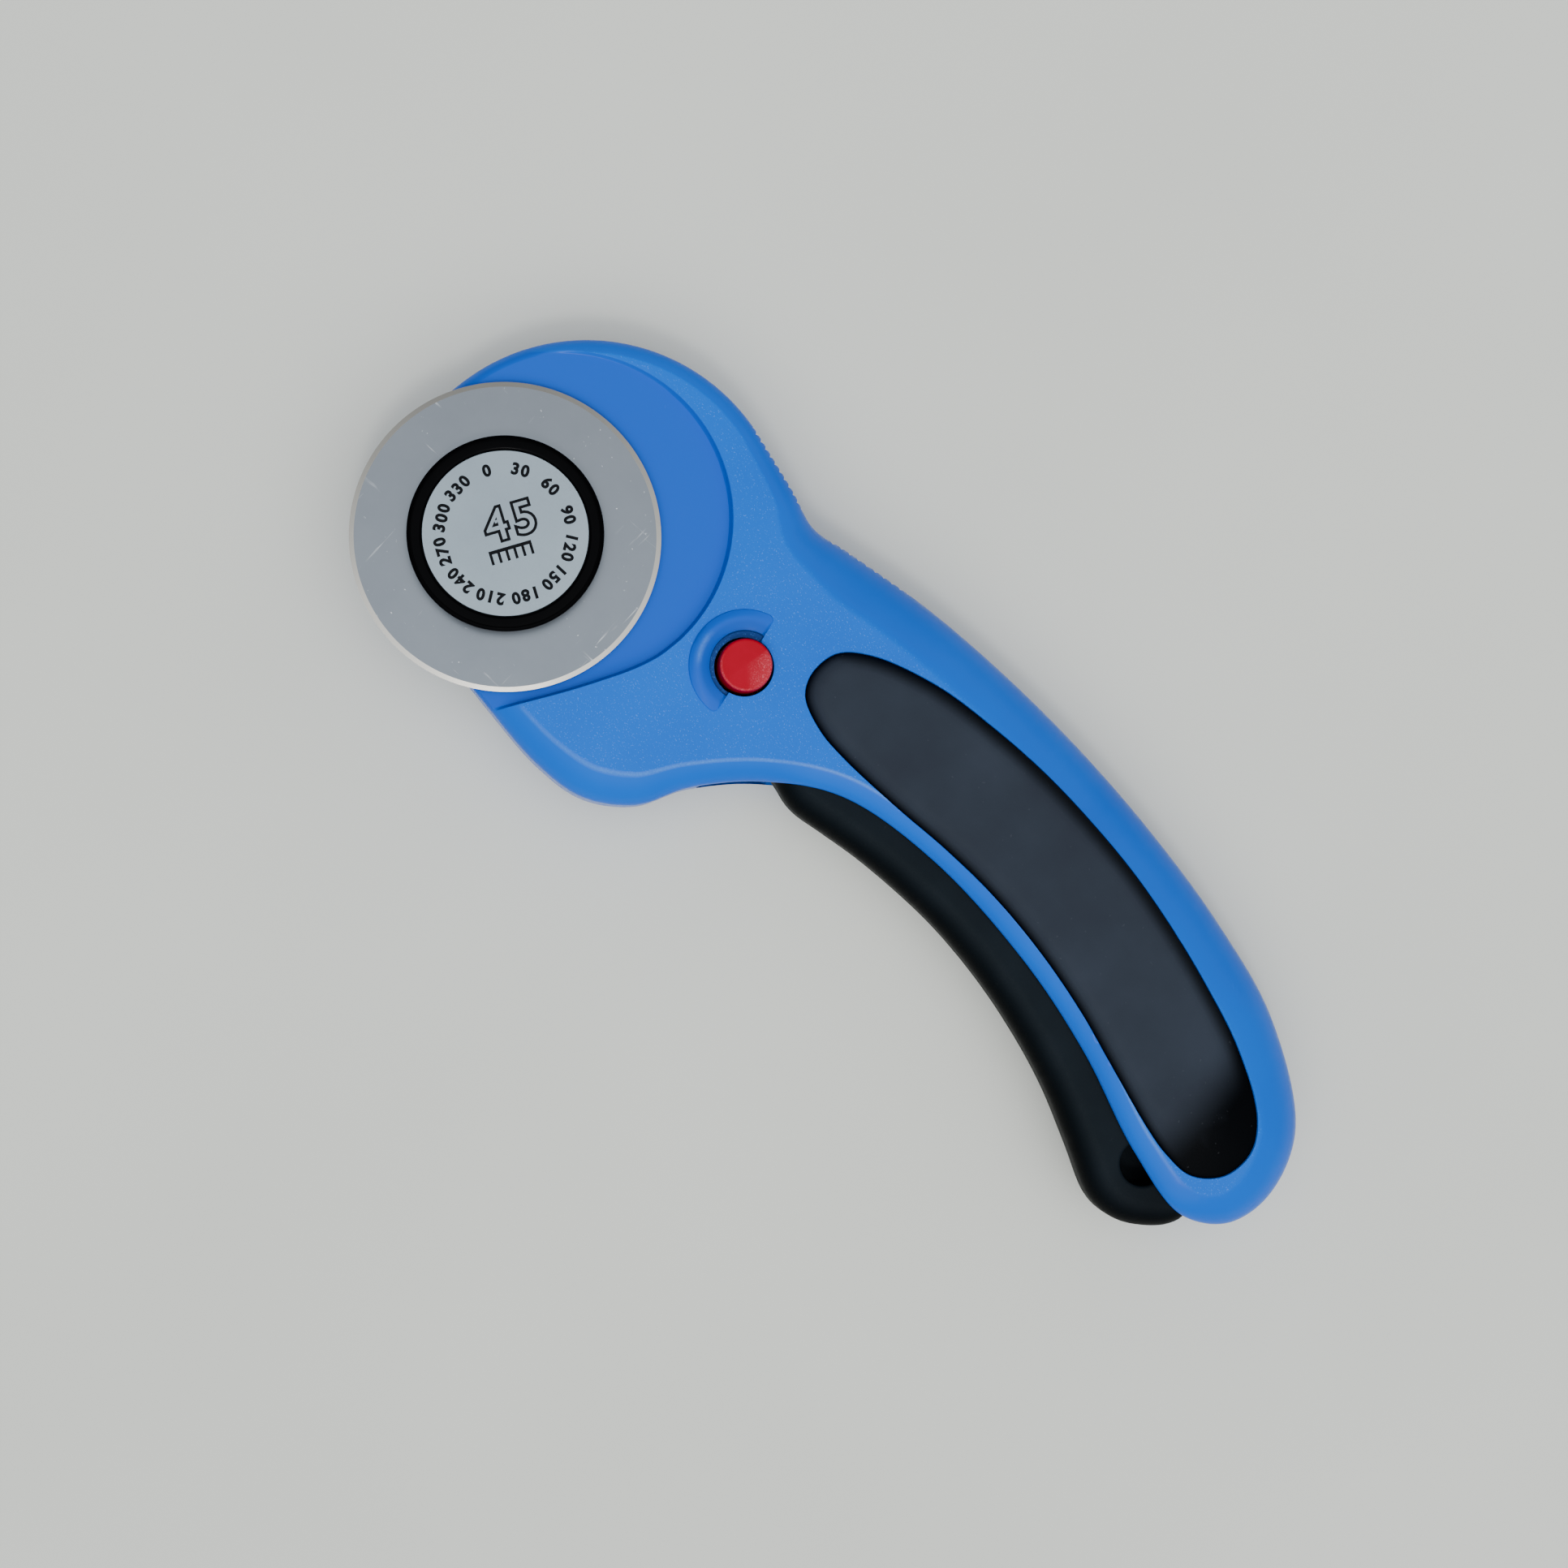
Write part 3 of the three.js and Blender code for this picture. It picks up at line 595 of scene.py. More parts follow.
def shell_inside(side, outside):
    """The hollow side of a shell, 0 for the back and 1 for the front, as plate takes it.

    It is at the seam on the side walls and posts, and never comes through the outside.
    """
    room = grip_room()
    wall, head, handle = SHELL_SEAM[side], HEAD_INSIDE[side], HANDLE_INSIDE[side]
    keep, lip = ((np.maximum, LIP_THICKNESS), (np.minimum, -LIP_THICKNESS))[side]

    def height(spots):
        hollow = jump(depth_in(BODY, spots), SIDE_WALL)
        for place in room:
            hollow = np.maximum(hollow, jump(depth_in(place, spots)))
        for centre, radius in POSTS:
            hollow = hollow * jump(away_from(centre, spots), radius)
        deep = head + (handle - head) * jump(spots[:, 0], HANDLE_INSIDE_START)
        return keep(wall + (deep - wall) * hollow, outside(spots) + lip)

    lines = around(spaced(BODY, 1.6), SIDE_WALL - 0.06, SIDE_WALL + 0.06)
    for place in room:
        lines += around(place, -0.06, 0.06)
    for centre, radius in POSTS:
        lines += [circle(centre, radius - 0.06, 28), circle(centre, radius + 0.06, 28)]
    ys = np.linspace(-25, 40, 40)
    for x in (HANDLE_INSIDE_START - 0.06, HANDLE_INSIDE_START + 0.06):
        lines.append((np.column_stack([np.full(len(ys), x), ys]),))
    return height, lines, 5.0


def front_shell(finish):
    pin_way = curved_slot(PIVOT, HUB_RADIUS, HUB_ANGLE - SWING, HUB_ANGLE, 6.2)
    holes = [circle(BORE_MIDDLE, BORE_RADIUS, 56), pin_way]
    widths = BODY[:, 2]
    lines = rounding_lines(BODY, widths)
    lines += around(BODY, widths * 0.85, widths * 0.93, widths * 1.05, widths + 0.5)
    lines += around(RECESS, -0.1, -0.05, 0.02, 0.1, 0.19, 0.3, 0.42, 0.5)
    lines += around(PAD, -0.09, 0.11)
    lines += crescent_lines()
    lines.append((FACE_CREASE + np.linspace(-6, 20, 30)[:, None] * FACE_CREASE_WAY,))
    shape = plate(BODY_RIM, holes, (front_height, lines, 1.8), shell_inside(1, front_height))
    shell = piece("front_shell_moulding", shape, finish, "handle", ["front_shell"])
    spots = shape[0][:, :2]
    radius, side = crescent_frame(spots)
    ring = jump(depth_in(CRESCENT_EDGE, spots), 0, 0.1)
    marks = {
        "grain": front_grain(spots),
        # Darker in the blade recess and on the half ring: a smoother finish there, and partly painted
        # shade.
        "recess": np.maximum(ease(depth_in(RECESS, spots), 0, 0.4), ring),
        "shade": ring * ease(CRESCENT[1] - radius, -0.1, 0.6),
        # Painted highlights: along the crease beside the trigger and on the half ring's crest.
        "crest": front_crest(spots),
        # Painted shadow on the low step between the half ring and the button's bore.
        "ledge": ease(CRESCENT[0] - radius, -0.12, 0.06) * jump(side, 0, 0.1),
    }
    upper = ease(shape[0][:, 2], 16, 16.5)
    for name, values in marks.items():
        mark(shell, name, values * upper)
    return shell


# ---------- Back shell ----------


def back_height(spots):
    """The back shell's outside: its face, rounding, the step for the nut and the pad's pocket."""
    depth, width, drop = nearest(BODY, spots).T
    width = np.minimum(width, BACK_ROUNDING[0])
    drop = np.minimum(drop, BACK_ROUNDING[1])
    handle = BACK_FACE + rounding(depth, width, drop, SLOPE_SHARE)
    head = ease(depth_in(NUT_STEP, spots), -1.2, 0.3)
    thin = HEAD_BACK + rounding(depth, 1.6, 1.4)
    z = np.maximum(handle, handle * (1 - head) + thin * head)
    return z + (BACK_POCKET - z) * jump(depth_in(PAD, spots), 0, 0.12)


def back_shell(finish):
    holes = [circle(BORE_MIDDLE, BORE_RADIUS, 40),
             curved_slot(PIVOT, HUB_RADIUS, HUB_ANGLE - SWING, HUB_ANGLE, 7.2),
             *[circle(centre, SCREW_HEAD_RADIUS + 0.3, 28) for centre in SCREWS.values()]]
    widths = np.minimum(BODY[:, 2], BACK_ROUNDING[0])
    lines = rounding_lines(BODY, widths, 7)
    lines += around(BODY, widths + 0.5)
    lines += around(NUT_STEP, -1.25, -0.9, -0.6, -0.3, 0, 0.35)
    lines += around(PAD, -0.14, 0.14)
    shape = plate(BODY_RIM, holes, shell_inside(0, back_height), (back_height, lines, 2.4))
    shell = piece("back_shell_moulding", shape, finish, "handle", ["back_shell"])
    depth, width, _ = nearest(BODY, shape[0][:, :2]).T
    lower = ease(shape[0][:, 2], 6, 5.5)
    mark(shell, "grain", ease(depth, width * 0.72, width * 1.02) * lower)
    for name in ("recess", "shade", "ledge", "crest"):
        mark(shell, name, np.zeros(len(depth)))
    return shell


# ---------- Grip pads ----------


def pad_crown(spots, edge):
    """0 at a pad's edge, 1 on its flat middle. The butt end slopes down over a longer way."""
    reach = 2.6 + 8.4 * ease(spots[:, 0], 124, 138)
    return np.sin(np.clip(depth_in(edge, spots) / reach, 0, 1) * math.pi / 2) ** 0.9


def grip_pad(name, node, finish, heights, upwards):
    """A soft pad, flat in its pocket and crowned outwards."""
    low, rim, crown = heights
    way = 1 if upwards else -1
    edge = inset(spaced(PAD, 1.0), -0.04)
    lines = around(edge, 0.1, 0.25, 0.42, 0.8, 1.3, 1.9, 2.6, 3.4, 4.4)

    def curved(spots):
        rounded = rounding(depth_in(edge, spots), 0.4, 0.3)
        return rim + (crown - rim) * pad_crown(spots, edge) - way * rounded

    sides = ((curved, lines, 2.2), (level(low), [], 5.0))
    shape = plate(edge, [], *sides[::way])
    pad = piece(name, shape, finish, "handle", [node], sharp=50)
    spots = shape[0][:, :2]
    # The crown mark is painted shade: low, so the colour near black, close to the edge, over a wider band
    # on the spine side, and over the butt end.
    spineward = (edge - inset(edge, 1.0)) @ np.array([0.35, 0.94])
    painted_shade_width = 1.3 + 1.7 * ease(spineward, 0, 0.9)
    depth, dark = nearest(np.column_stack([edge, painted_shade_width]), spots).T
    mark(pad, "crown", ease(depth, 0, dark) * (1 - ease(spots[:, 0], 126.5, 134.5)))
    return pad


# ---------- Lever ----------


def trigger_height(face, sign):
    """The height function of one side of the grip. Only the front, sign 1, has the end's recess."""
    def height(spots):
        depth, size = nearest(TRIGGER, spots).T
        z = face - sign * rounding(depth, size, size)
        if sign < 0:
            return z
        gap = away_from(END_RECESS[:2], spots) - END_RECESS[2]
        z = z - rounding(gap, 0.5, 0.4)
        return z + (END_RECESS_FLOOR - z) * jump(-gap)
    return height


def trigger_lever(finish):
    *recess, radius = END_RECESS
    lines = rounding_lines(TRIGGER, TRIGGER[:, 2], 8)
    rings = [circle(recess, radius + d, 48) for d in (-0.06, 0.06, 0.12, 0.2, 0.35, 0.52)]
    low, high = TRIGGER_SPAN
    grip = plate(
        TRIGGER, [],
        (trigger_height(high, 1), lines + rings, 2.2),
        (trigger_height(low, -1), lines, 2.2),
    )
    pivot = circle(PIVOT, 2.65, 24)
    bolt_way = [BOLT_RADIUS, BOLT_ANGLE, BOLT_ANGLE + SWING]
    parts = [
        (tapered_bar((0, 0), 8, PIVOT, 5.1), [circle((0, 0), PIN_BORE, 32), pivot]),
        (curved_slot(PIVOT, *bolt_way, 7.2), [curved_slot(PIVOT, *bolt_way, BUTTON_SLOT)]),
        (spaced(spline(ROOT_EDGE), 1.5), []),
        (tapered_bar((33.4, 0), 4.2, PIVOT, 5.05), [pivot]),
    ]
    # Each part of the lever's plate is a little thinner than the last, so no faces coincide.
    low, high = LEVER_PLATE
    arms = [
        simple_plate(edge, holes, (low + 0.03 * k, high - 0.03 * k))
        for k, (edge, holes) in enumerate(parts)
    ]
    boss = turned([
        (PIN_BORE, 14.3), (5.5, 14.3), (5.5, 17.3), (5.3, 17.5), (PIN_BORE, 17.5), (PIN_BORE, 14.3),
    ], 48)
    shape = joined(grip, *arms, boss)
    lever = piece("trigger_moulding", shape, finish, "lever", ["trigger_lever"])
    spots = shape[0][:, :2]
    # The crown mark is painted shade: the colour darkens over the grip's rounded edge, and somewhat
    # towards its end.
    depth, size = nearest(TRIGGER, spots).T
    mark(lever, "crown", ease(depth, -0.2, size * 0.85) * (1 - 0.5 * ease(spots[:, 0], 124, 137)))
    return lever


# ---------- Lock button ----------


def lock_button(finish):
    """The cross-bolt, with two grooves for the detent spring and a top of two facets."""
    r, waist, top = BUTTON_RADIUS, BUTTON_WAIST, BUTTON_TOP
    profile = [
        (0, 3.5), (r - 0.4, 3.5), (r - 0.1, 3.6), (r, 3.9), (r, 4.7), (waist, 5.2),
        (waist, 6.2), (r, 6.7), (r, 7.6), (waist, 8.1), (waist, 14), (r, 15.2),
        (r, 17.6), (r - 0.16, top - 0.4), (r - 0.2, top - 0.22), (r - 0.28, top - 0.08),
        (r - 0.42, top), (r - 0.58, top), (2.8, top), (1.6, top), (0, top),
    ]
    verts, faces = turned(profile, 72, BUTTON)
    away = verts[:, :2] - np.array(BUTTON)
    gap = np.linalg.norm(away, axis=1)
    # The facets meet on a line that runs 78 degrees from +X on the plan.
    past = away @ np.array([math.sin(math.radians(78)), -math.cos(math.radians(78))])
    slopes = np.where(past > 0, -0.08, -0.004) * past
    verts[:, 2] += slopes * (verts[:, 2] > top - 0.7)
    shape = (verts, faces)
    button = piece("lock_button_cap", shape, finish, "lock", ["lock_button"], sharp=40)
    # Painted highlight: the grained facet is lighter towards one side, and a thin line on the top's rim is
    # lighter on the lower-left.
    painted_light_way = away @ np.array([0.93, 0.37]) / np.maximum(gap, 0.01)
    sector_highlight = ease(painted_light_way, 0.35, 0.95) * ease(gap, 0.2, 3.4) * jump(past)
    rim = 0.9 * band(gap, 3.5, 3.6, 3.72, 3.8) * ease(-away[:, 1], 0, 3)
    mark(button, "facet_and_highlight", np.maximum(sector_highlight, rim) * ease(verts[:, 2], top - 0.9, top - 0.5))
    return button


# ---------- Blade and its pin stack ----------


def blade_disc(finish):
    r, low, high = BLADE_RADIUS, BLADE_HEIGHT - 0.15, BLADE_HEIGHT + 0.15
    profile = [
        (PIN_BORE, low), (r - BEVEL_WIDTH, low), (r, low + 0.135), (r, high - 0.135),
        (r - BEVEL_WIDTH, high), (r - 1.6, high), (14.6, high), (PIN_BORE, high), (PIN_BORE, low),
    ]
    return piece("blade_disc", turned(profile, 180), finish, "blade", ["blade"], sharp=2.5)


def pin_head_ring(finish):
    z = HEAD_TOP
    profile = [
        (0, 19.9), (4.2, 19.9), (4.2, 18.4), (12.9, 18.4), (13.1, 18.6), (13.6, z - 1.6),
        (14.0, z - 0.75), (14.1, z - 0.5), (14.06, z - 0.28), (13.9, z - 0.14), (13.66, z - 0.07),
        (13.6, z - 0.16), (13.52, z - 0.16), (13.46, z - 0.04), (13.2, z - 0.01), (12.4, z),
        (12.2, z - 0.02), (12.06, z - 0.1), (12.0, z - 0.24), (12.0, z - 0.7), (0, z - 0.7),
    ]
    return piece("pin_head_cap", turned(profile, 144), finish, "lever", ["pin_head"])


def glyphs(text, size, middle, degrees, span, weight):
    """Plain numerals lying flat between two heights, made bolder by a weight in millimetres."""
    curve = bpy.data.curves.new("glyphs", "FONT")
    curve.body, curve.size, curve.align_x, curve.align_y = text, size, "CENTER", "CENTER"
    curve.resolution_u, curve.extrude, curve.offset = 5, (span[1] - span[0]) / 2, weight
    curve.space_character = 1.25
    holder = bpy.data.objects.new("glyphs", curve)
    bpy.context.scene.collection.objects.link(holder)
    bpy.context.view_layer.update()
    mesh = bpy.data.meshes.new_from_object(holder.evaluated_get(bpy.context.evaluated_depsgraph_get()))
    verts = np.array([v.co for v in mesh.vertices])
    faces = [tuple(p.vertices) for p in mesh.polygons]
    bpy.data.objects.remove(holder)
    bpy.data.meshes.remove(mesh)
    verts[:, :2] -= (verts[:, :2].min(0) + verts[:, :2].max(0)) / 2
    verts[:, :2] = turn_about(verts[:, :2], (0, 0), degrees) + np.array(middle)
    verts[:, 2] += (span[0] + span[1]) / 2
    return verts, faces


def dial_numbers(low):
    """Printed degrees round the disc, each upright when its place is at the top."""
    shapes = []
    for degrees in range(0, 360, 30):
        turn = DISC_TURN - degrees
        middle = turn_about(np.array([[0, DIAL_RADIUS]]), (0, 0), turn)[0]
        shapes.append(glyphs(str(degrees), 2.3, middle, turn, (low, low + PRINT_THICKNESS), 0.11))
    return shapes


def scale_comb():
    """The outline of a little scale: a bar with six teeth below it."""
    comb = [(-3.15, 1.0), (-3.15, -1.0)]
    for tooth in range(5):
        left = -3.15 + 1.18 * tooth
        comb += [(left + 0.4, -1.0), (left + 0.4, 0.5), (left + 1.18, 0.5), (left + 1.18, -1.0)]
    comb += [(3.15, -1.0), (3.15, 1.0)]
    return turn_about(np.array(comb), (0, 0), DISC_TURN) + np.array(DISC_SCALE)


def face_disc(finish, ink):
    """The disc in the pin's head, with printed numbers, an outlined 45 and a scale."""
    z = HEAD_TOP - 0.25
    low, r = z - 0.4, 11.9
    disc = turned([(0, low), (r - 0.1, low), (r, low + 0.1), (r, z - 0.06), (r - 0.06, z), (0, z)], 128)
    inked = (z - 0.01, z - 0.01 + PRINT_THICKNESS)
    printed = joined(
        *dial_numbers(inked[0]),
        glyphs("45", 6.6, DISC_NUMBER, DISC_TURN, inked, 0.42),
        simple_plate(scale_comb(), [], inked, 3.0),
    )
    # A thin metal 45 lies on the wider printed one, so that only its outline is black.
    bare = glyphs("45", 6.6, DISC_NUMBER, DISC_TURN, (z, z + PRINT_THICKNESS), 0.0)
    shape = joined(disc, bare, printed)
    thing = piece("pin_face_plate", shape, finish, "lever", ["pin_face_disc"], sharp=30)
    thing.data.materials.append(ink)
    black = np.arange(len(thing.data.polygons)) >= len(disc[1]) + len(bare[1])
    thing.data.polygons.foreach_set("material_index", black.astype(np.int32))
    return thing


def blade_nut(finish):
    """The finger nut: twelve lobes, a dished face and a collar towards the lever."""
    lobes = 12
    angle = np.linspace(0, 2 * math.pi, lobes * 16, endpoint=False)
    radius = 9.3 + 0.38 * np.cos(lobes * angle)
    edge = np.column_stack([radius * np.cos(angle), radius * np.sin(angle)])

    def inner(spots):
        return 4.9 - rounding(depth_in(edge, spots), 0.7, 0.7)

    def outer(spots):
        dish = 0.5 * band(away_from((0, 0), spots), 4.6, 5.0, 7.1, 7.6)
        return rounding(depth_in(edge, spots), 0.9, 0.9) + dish

    rounds = rounding_lines(edge, 0.9, 5)
    rings = [circle((0, 0), r, 60) for r in (4.55, 4.7, 4.85, 5.05, 7.05, 7.2, 7.4, 7.65)]
    body = plate(edge, [circle((0, 0), 3.6, 40)], (inner, rounds, 3.0), (outer, rounds + rings, 2.0))
    collar = turned([(5.55, 4.6), (6, 4.6), (6, 6.6), (5.85, 6.8), (5.55, 6.8), (5.55, 4.6)], 64)
    nut = piece("blade_nut_moulding", joined(body, collar), finish, "nut", ["blade_nut"])
    mark(nut, "crown", np.ones(len(nut.data.vertices)))
    return nut


def screw(place, finish):
    """A pan-head screw with a cross recess, seen from the back of the handle."""
    centre = np.array(SCREWS[place])
    edge = circle(centre, SCREW_HEAD_RADIUS, 48)

    def head(spots):
        gap = away_from(centre, spots)
        cross = np.abs(spots - centre).min(1)
        slot = jump(0.32 - cross, 0, 0.06) * jump(1.5 - gap, 0, 0.08)
        return 1.72 + rounding(SCREW_HEAD_RADIUS - gap, 1.1, 0.7) + 0.75 * slot

    lines = [circle(centre, r, 40) for r in (0.5, 0.9, 1.4, 1.6, 1.9, 2.2, 2.35, 2.45)]
    reach = np.linspace(-1.55, 1.55, 12)
    for d in (-0.4, -0.25, 0.25, 0.4):
        across = np.column_stack([reach, np.full(12, d)])
        lines += [(centre + across,), (centre + across[:, ::-1],)]
    cap = plate(edge, [], (level(3.2), [], 2.0), (head, lines, 0.6))
    r = SCREW_RADIUS
    shank = turned([(0, 3.1), (r, 3.1), (r, 14.4), (0.4, 15.2), (0, 15.2)], 24, tuple(centre))
    shape = joined(cap, shank)
    return piece(f"screw_{place}", shape, finish, "handle", [f"housing_screw_{place}"])


# ---------- Materials ----------


class Finish:
    """A material under construction: a Principled shader, and helpers for what feeds it."""

    def __init__(self, name, **constants):
        self.material = bpy.data.materials.new(name)
        self.material.use_nodes = True
        self.tree = self.material.node_tree
        self.shader = self.tree.nodes["Principled BSDF"]
        for socket, value in constants.items():
            self.shader.inputs[socket.replace("_", " ")].default_value = value
        self.place = self.tree.nodes.new("ShaderNodeTexCoord").outputs["Object"]

    def node(self, kind, settings=None, **inputs):
        made = self.tree.nodes.new(kind)
        for key, value in (settings or {}).items():
            setattr(made, key, value)
        for key, value in inputs.items():
            self.feed(made.inputs[key.replace("_", " ")], value)
        return made

    def feed(self, socket, value):
        if isinstance(value, bpy.types.NodeSocket):
            self.tree.links.new(value, socket)
        else:
            socket.default_value = value

    def noise(self, per_mm, detail=2.0, rough=0.5, stretch=None):
        place = self.place
        if stretch:
            place = self.node("ShaderNodeMapping", Vector=place, Scale=stretch).outputs[0]
        scale = per_mm / MM
        made = self.node("ShaderNodeTexNoise", Vector=place, Scale=scale, Detail=detail, Roughness=rough)
        return made.outputs[0]

    def spread(self, value, low, high, to_low=0.0, to_high=1.0):
        ends = {"From_Min": low, "From_Max": high, "To_Min": to_low, "To_Max": to_high}
        return self.node("ShaderNodeMapRange", Value=value, **ends).outputs[0]

    def cloud(self, per_mm, detail=3.0, rough=0.5):
        """Soft patches, from 0 to 1."""
        return self.spread(self.noise(per_mm, detail, rough), 0.3, 0.7)

    def math(self, operation, a, b):
        made = self.node("ShaderNodeMath", {"operation": operation})
        self.feed(made.inputs[0], a)
        self.feed(made.inputs[1], b)
        return made.outputs[0]

    def times(self, a, b):
        return self.math("MULTIPLY", a, b)

    def mix(self, factor, a, b):
        """A colour between two, each an sRGB tuple or what another node gives."""
        made = self.node("ShaderNodeMix", {"data_type": "RGBA"})
        for socket, value in ((0, factor), (6, a), (7, b)):
            self.feed(made.inputs[socket], linear(*value) if isinstance(value, tuple) else value)
        return made.outputs[2]

    def read(self, name):
        return self.node("ShaderNodeAttribute", {"attribute_name": name}).outputs["Fac"]

    def bump(self, height, strength, depth_mm, under=None):
        made = self.node("ShaderNodeBump", Strength=strength, Distance=depth_mm * MM, Height=height)
        if under is not None:
            self.feed(made.inputs["Normal"], under)
        return made.outputs[0]

    def done(self, colour, rough, normal=None):
        """The material, with what feeds its shader."""
        for name, value in (("Base Color", colour), ("Roughness", rough), ("Normal", normal)):
            if value is not None:
                self.feed(self.shader.inputs[name], value)
        return self.material


def linear(red, green, blue):
    """An sRGB colour from 0 to 255 as the linear colour that a shader takes."""
    shares = [c / 255 for c in (red, green, blue)]
    return (*[s / 12.92 if s < 0.0405 else ((s + 0.055) / 1.055) ** 2.4 for s in shares], 1.0)


def blue_finish():
    f = Finish("blue_moulded_plastic", Specular_IOR_Level=0.09)
    grain, recess = f.read("grain"), f.read("recess")
    cloud = f.cloud(0.05)
    fine = f.noise(4.2, 2, 0.6)
    plain = f.mix(cloud, (6, 91, 199), (11, 97, 206))
    flat = f.mix(cloud, (7, 95, 203), (12, 101, 210))
    colour = f.mix(grain, plain, flat)
    # Darker blue in the recess and on the half ring: partly the smoother finish, partly painted shade.
    colour = f.mix(f.times(recess, 0.85), colour, (1, 82, 192))
    colour = f.mix(f.times(f.read("shade"), 0.8), colour, (0, 74, 176))
    # Painted shadow: dark grey-blue on the step beside the button.
    colour = f.mix(f.times(f.read("ledge"), 0.8), colour, (14, 46, 98))
    # Painted highlight: lighter blue, broken by the grain, where the crest mark is set.
    painted_highlight = f.times(f.read("crest"), f.spread(fine, 0.2, 0.7, 0.25, 0.7))
    colour = f.mix(painted_highlight, colour, (96, 160, 232))
    # Painted glints: lighter flecks over the grained faces.
    painted_glints = f.times(f.spread(fine, 0.6, 0.7), f.times(grain, 0.5))
    colour = f.mix(painted_glints, colour, (76, 150, 240))
    rough = f.math("ADD", f.times(grain, 0.14), f.spread(f.noise(0.6, 4), 0.2, 0.8, 0.2, 0.28))
    soft = f.bump(f.noise(0.22), 0.12, 0.2)
    height = f.times(fine, f.spread(grain, 0, 1, 0.12, 1))
    return f.done(colour, rough, f.bump(height, 0.5, 0.05, soft))


def grip_finish():
    f = Finish("moulded_elastomer", Specular_IOR_Level=0.03)
    fine = f.noise(5.0, 3, 0.6)
    middle = f.mix(f.cloud(0.08), (41, 46, 55), (47, 53, 63))
    # Painted shade: near black where the crown mark is low, at the pad's edges and butt end.
    colour = f.mix(f.read("crown"), (1, 2, 4), middle)
    lint = f.spread(f.noise(1.3, 1), 0.74, 0.8, 0, 0.12)
    colour = f.mix(lint, colour, (90, 94, 98))
    rough = f.spread(fine, 0.3, 0.7, 0.45, 0.55)
    return f.done(colour, rough, f.bump(fine, 0.35, 0.05))


def trigger_finish():
    f = Finish("black_textured_plastic", Specular_IOR_Level=0.035)
    fine = f.noise(4.0, 3, 0.6)
    colour = f.mix(f.cloud(0.1), (15, 22, 27), (20, 27, 33))
    # Painted shade: near black where the crown mark is low, on the grip's rounded edge and towards its
    # end.
    colour = f.mix(f.read("crown"), (1, 2, 3), colour)
    rub = f.spread(f.noise(0.9, 4, 0.7, (1, 0.25, 1)), 0.68, 0.82, 0, 0.12)
    colour = f.mix(rub, colour, (88, 88, 88))
    rough = f.spread(fine, 0.3, 0.7, 0.42, 0.55)
    return f.done(colour, rough, f.bump(fine, 0.4, 0.05))


def gloss_finish():
    f = Finish("black_gloss_plastic", Specular_IOR_Level=0.02)
    smear = f.noise(0.5, 4, 0.6)
    colour = f.mix(smear, (1, 1, 2), (4, 4, 5))
    rough = f.spread(smear, 0.3, 0.7, 0.12, 0.24)
    return f.done(colour, rough, f.bump(f.noise(1.2), 0.05, 0.05))


def red_finish():
    f = Finish("red_plastic", Specular_IOR_Level=0.05, Subsurface_Weight=0.03)
    f.shader.inputs["Subsurface Radius"].default_value = (0.0012, 0.0004, 0.0003)
    facet_and_highlight = f.read("facet_and_highlight")
    fine = f.noise(5.0, 2, 0.6)
    colour = f.mix(f.cloud(0.3, 2), (160, 0, 28), (168, 0, 34))
    # Painted highlight: the facet and rim turn a lighter red, with lighter painted glints; the facet's
    # grain shows in the roughness and bump.
    painted_glints = f.times(f.spread(fine, 0.5, 0.7), f.times(facet_and_highlight, 0.5))
    colour = f.mix(f.times(facet_and_highlight, 0.6), colour, (182, 52, 66))
    colour = f.mix(painted_glints, colour, (226, 120, 130))
    rough = f.math("ADD", f.times(facet_and_highlight, 0.1), 0.3)
    height = f.times(fine, f.spread(facet_and_highlight, 0, 1, 0.3, 1))
    return f.done(colour, rough, f.bump(height, 0.5, 0.04))


def radial(f):
    """Distance from the blade's pin, in millimetres on the plan."""
    flat = f.node("ShaderNodeVectorMath", {"operation": "MULTIPLY"})
    f.feed(flat.inputs[0], f.place)
    flat.inputs[1].default_value = (1 / MM, 1 / MM, 0)
    gap = f.node("ShaderNodeVectorMath", {"operation": "DISTANCE"})
    f.feed(gap.inputs[0], flat.outputs[0])
    gap.inputs[1].default_value = (PIN_PLACE.x / MM, PIN_PLACE.y / MM, 0)
    return gap.outputs["Value"]


def blade_finish():
    f = Finish("blade_steel", Metallic=1.0)
    away = radial(f)
    cloud = f.cloud(0.12, 4, 0.6)
    colour = f.mix(cloud, (99, 104, 110), (106, 111, 117))
    scratch = f.spread(f.noise(0.9, 3, 0.7, (1, 0.08, 1)), 0.66, 0.74)
    other = f.spread(f.noise(0.8, 3, 0.7, (0.1, 1, 1)), 0.67, 0.75)
    specks = f.spread(f.noise(1.6), 0.7, 0.78)
    marks = f.math("MAXIMUM", f.times(f.math("MAXIMUM", scratch, other), 0.5), specks)
    marks = f.times(marks, f.spread(f.noise(0.15), 0.45, 0.65))
    colour = f.mix(f.times(marks, 0.8), colour, (225, 226, 228))
    edge = BLADE_RADIUS - BEVEL_WIDTH
    bevel = f.spread(away, edge - 0.02, edge + 0.02)
    rings = f.node("ShaderNodeMath", {"operation": "SINE"})
    f.feed(rings.inputs[0], f.times(away, 60.0))
    colour = f.mix(bevel, colour, (156, 153, 147))
    rough = f.math("ADD", f.spread(cloud, 0, 1, 0.3, 0.36), f.times(marks, 0.15))
    height = f.math("ADD", f.times(rings.outputs[0], f.times(bevel, 0.3)), marks)
    return f.done(colour, rough, f.bump(height, 0.15, 0.02))


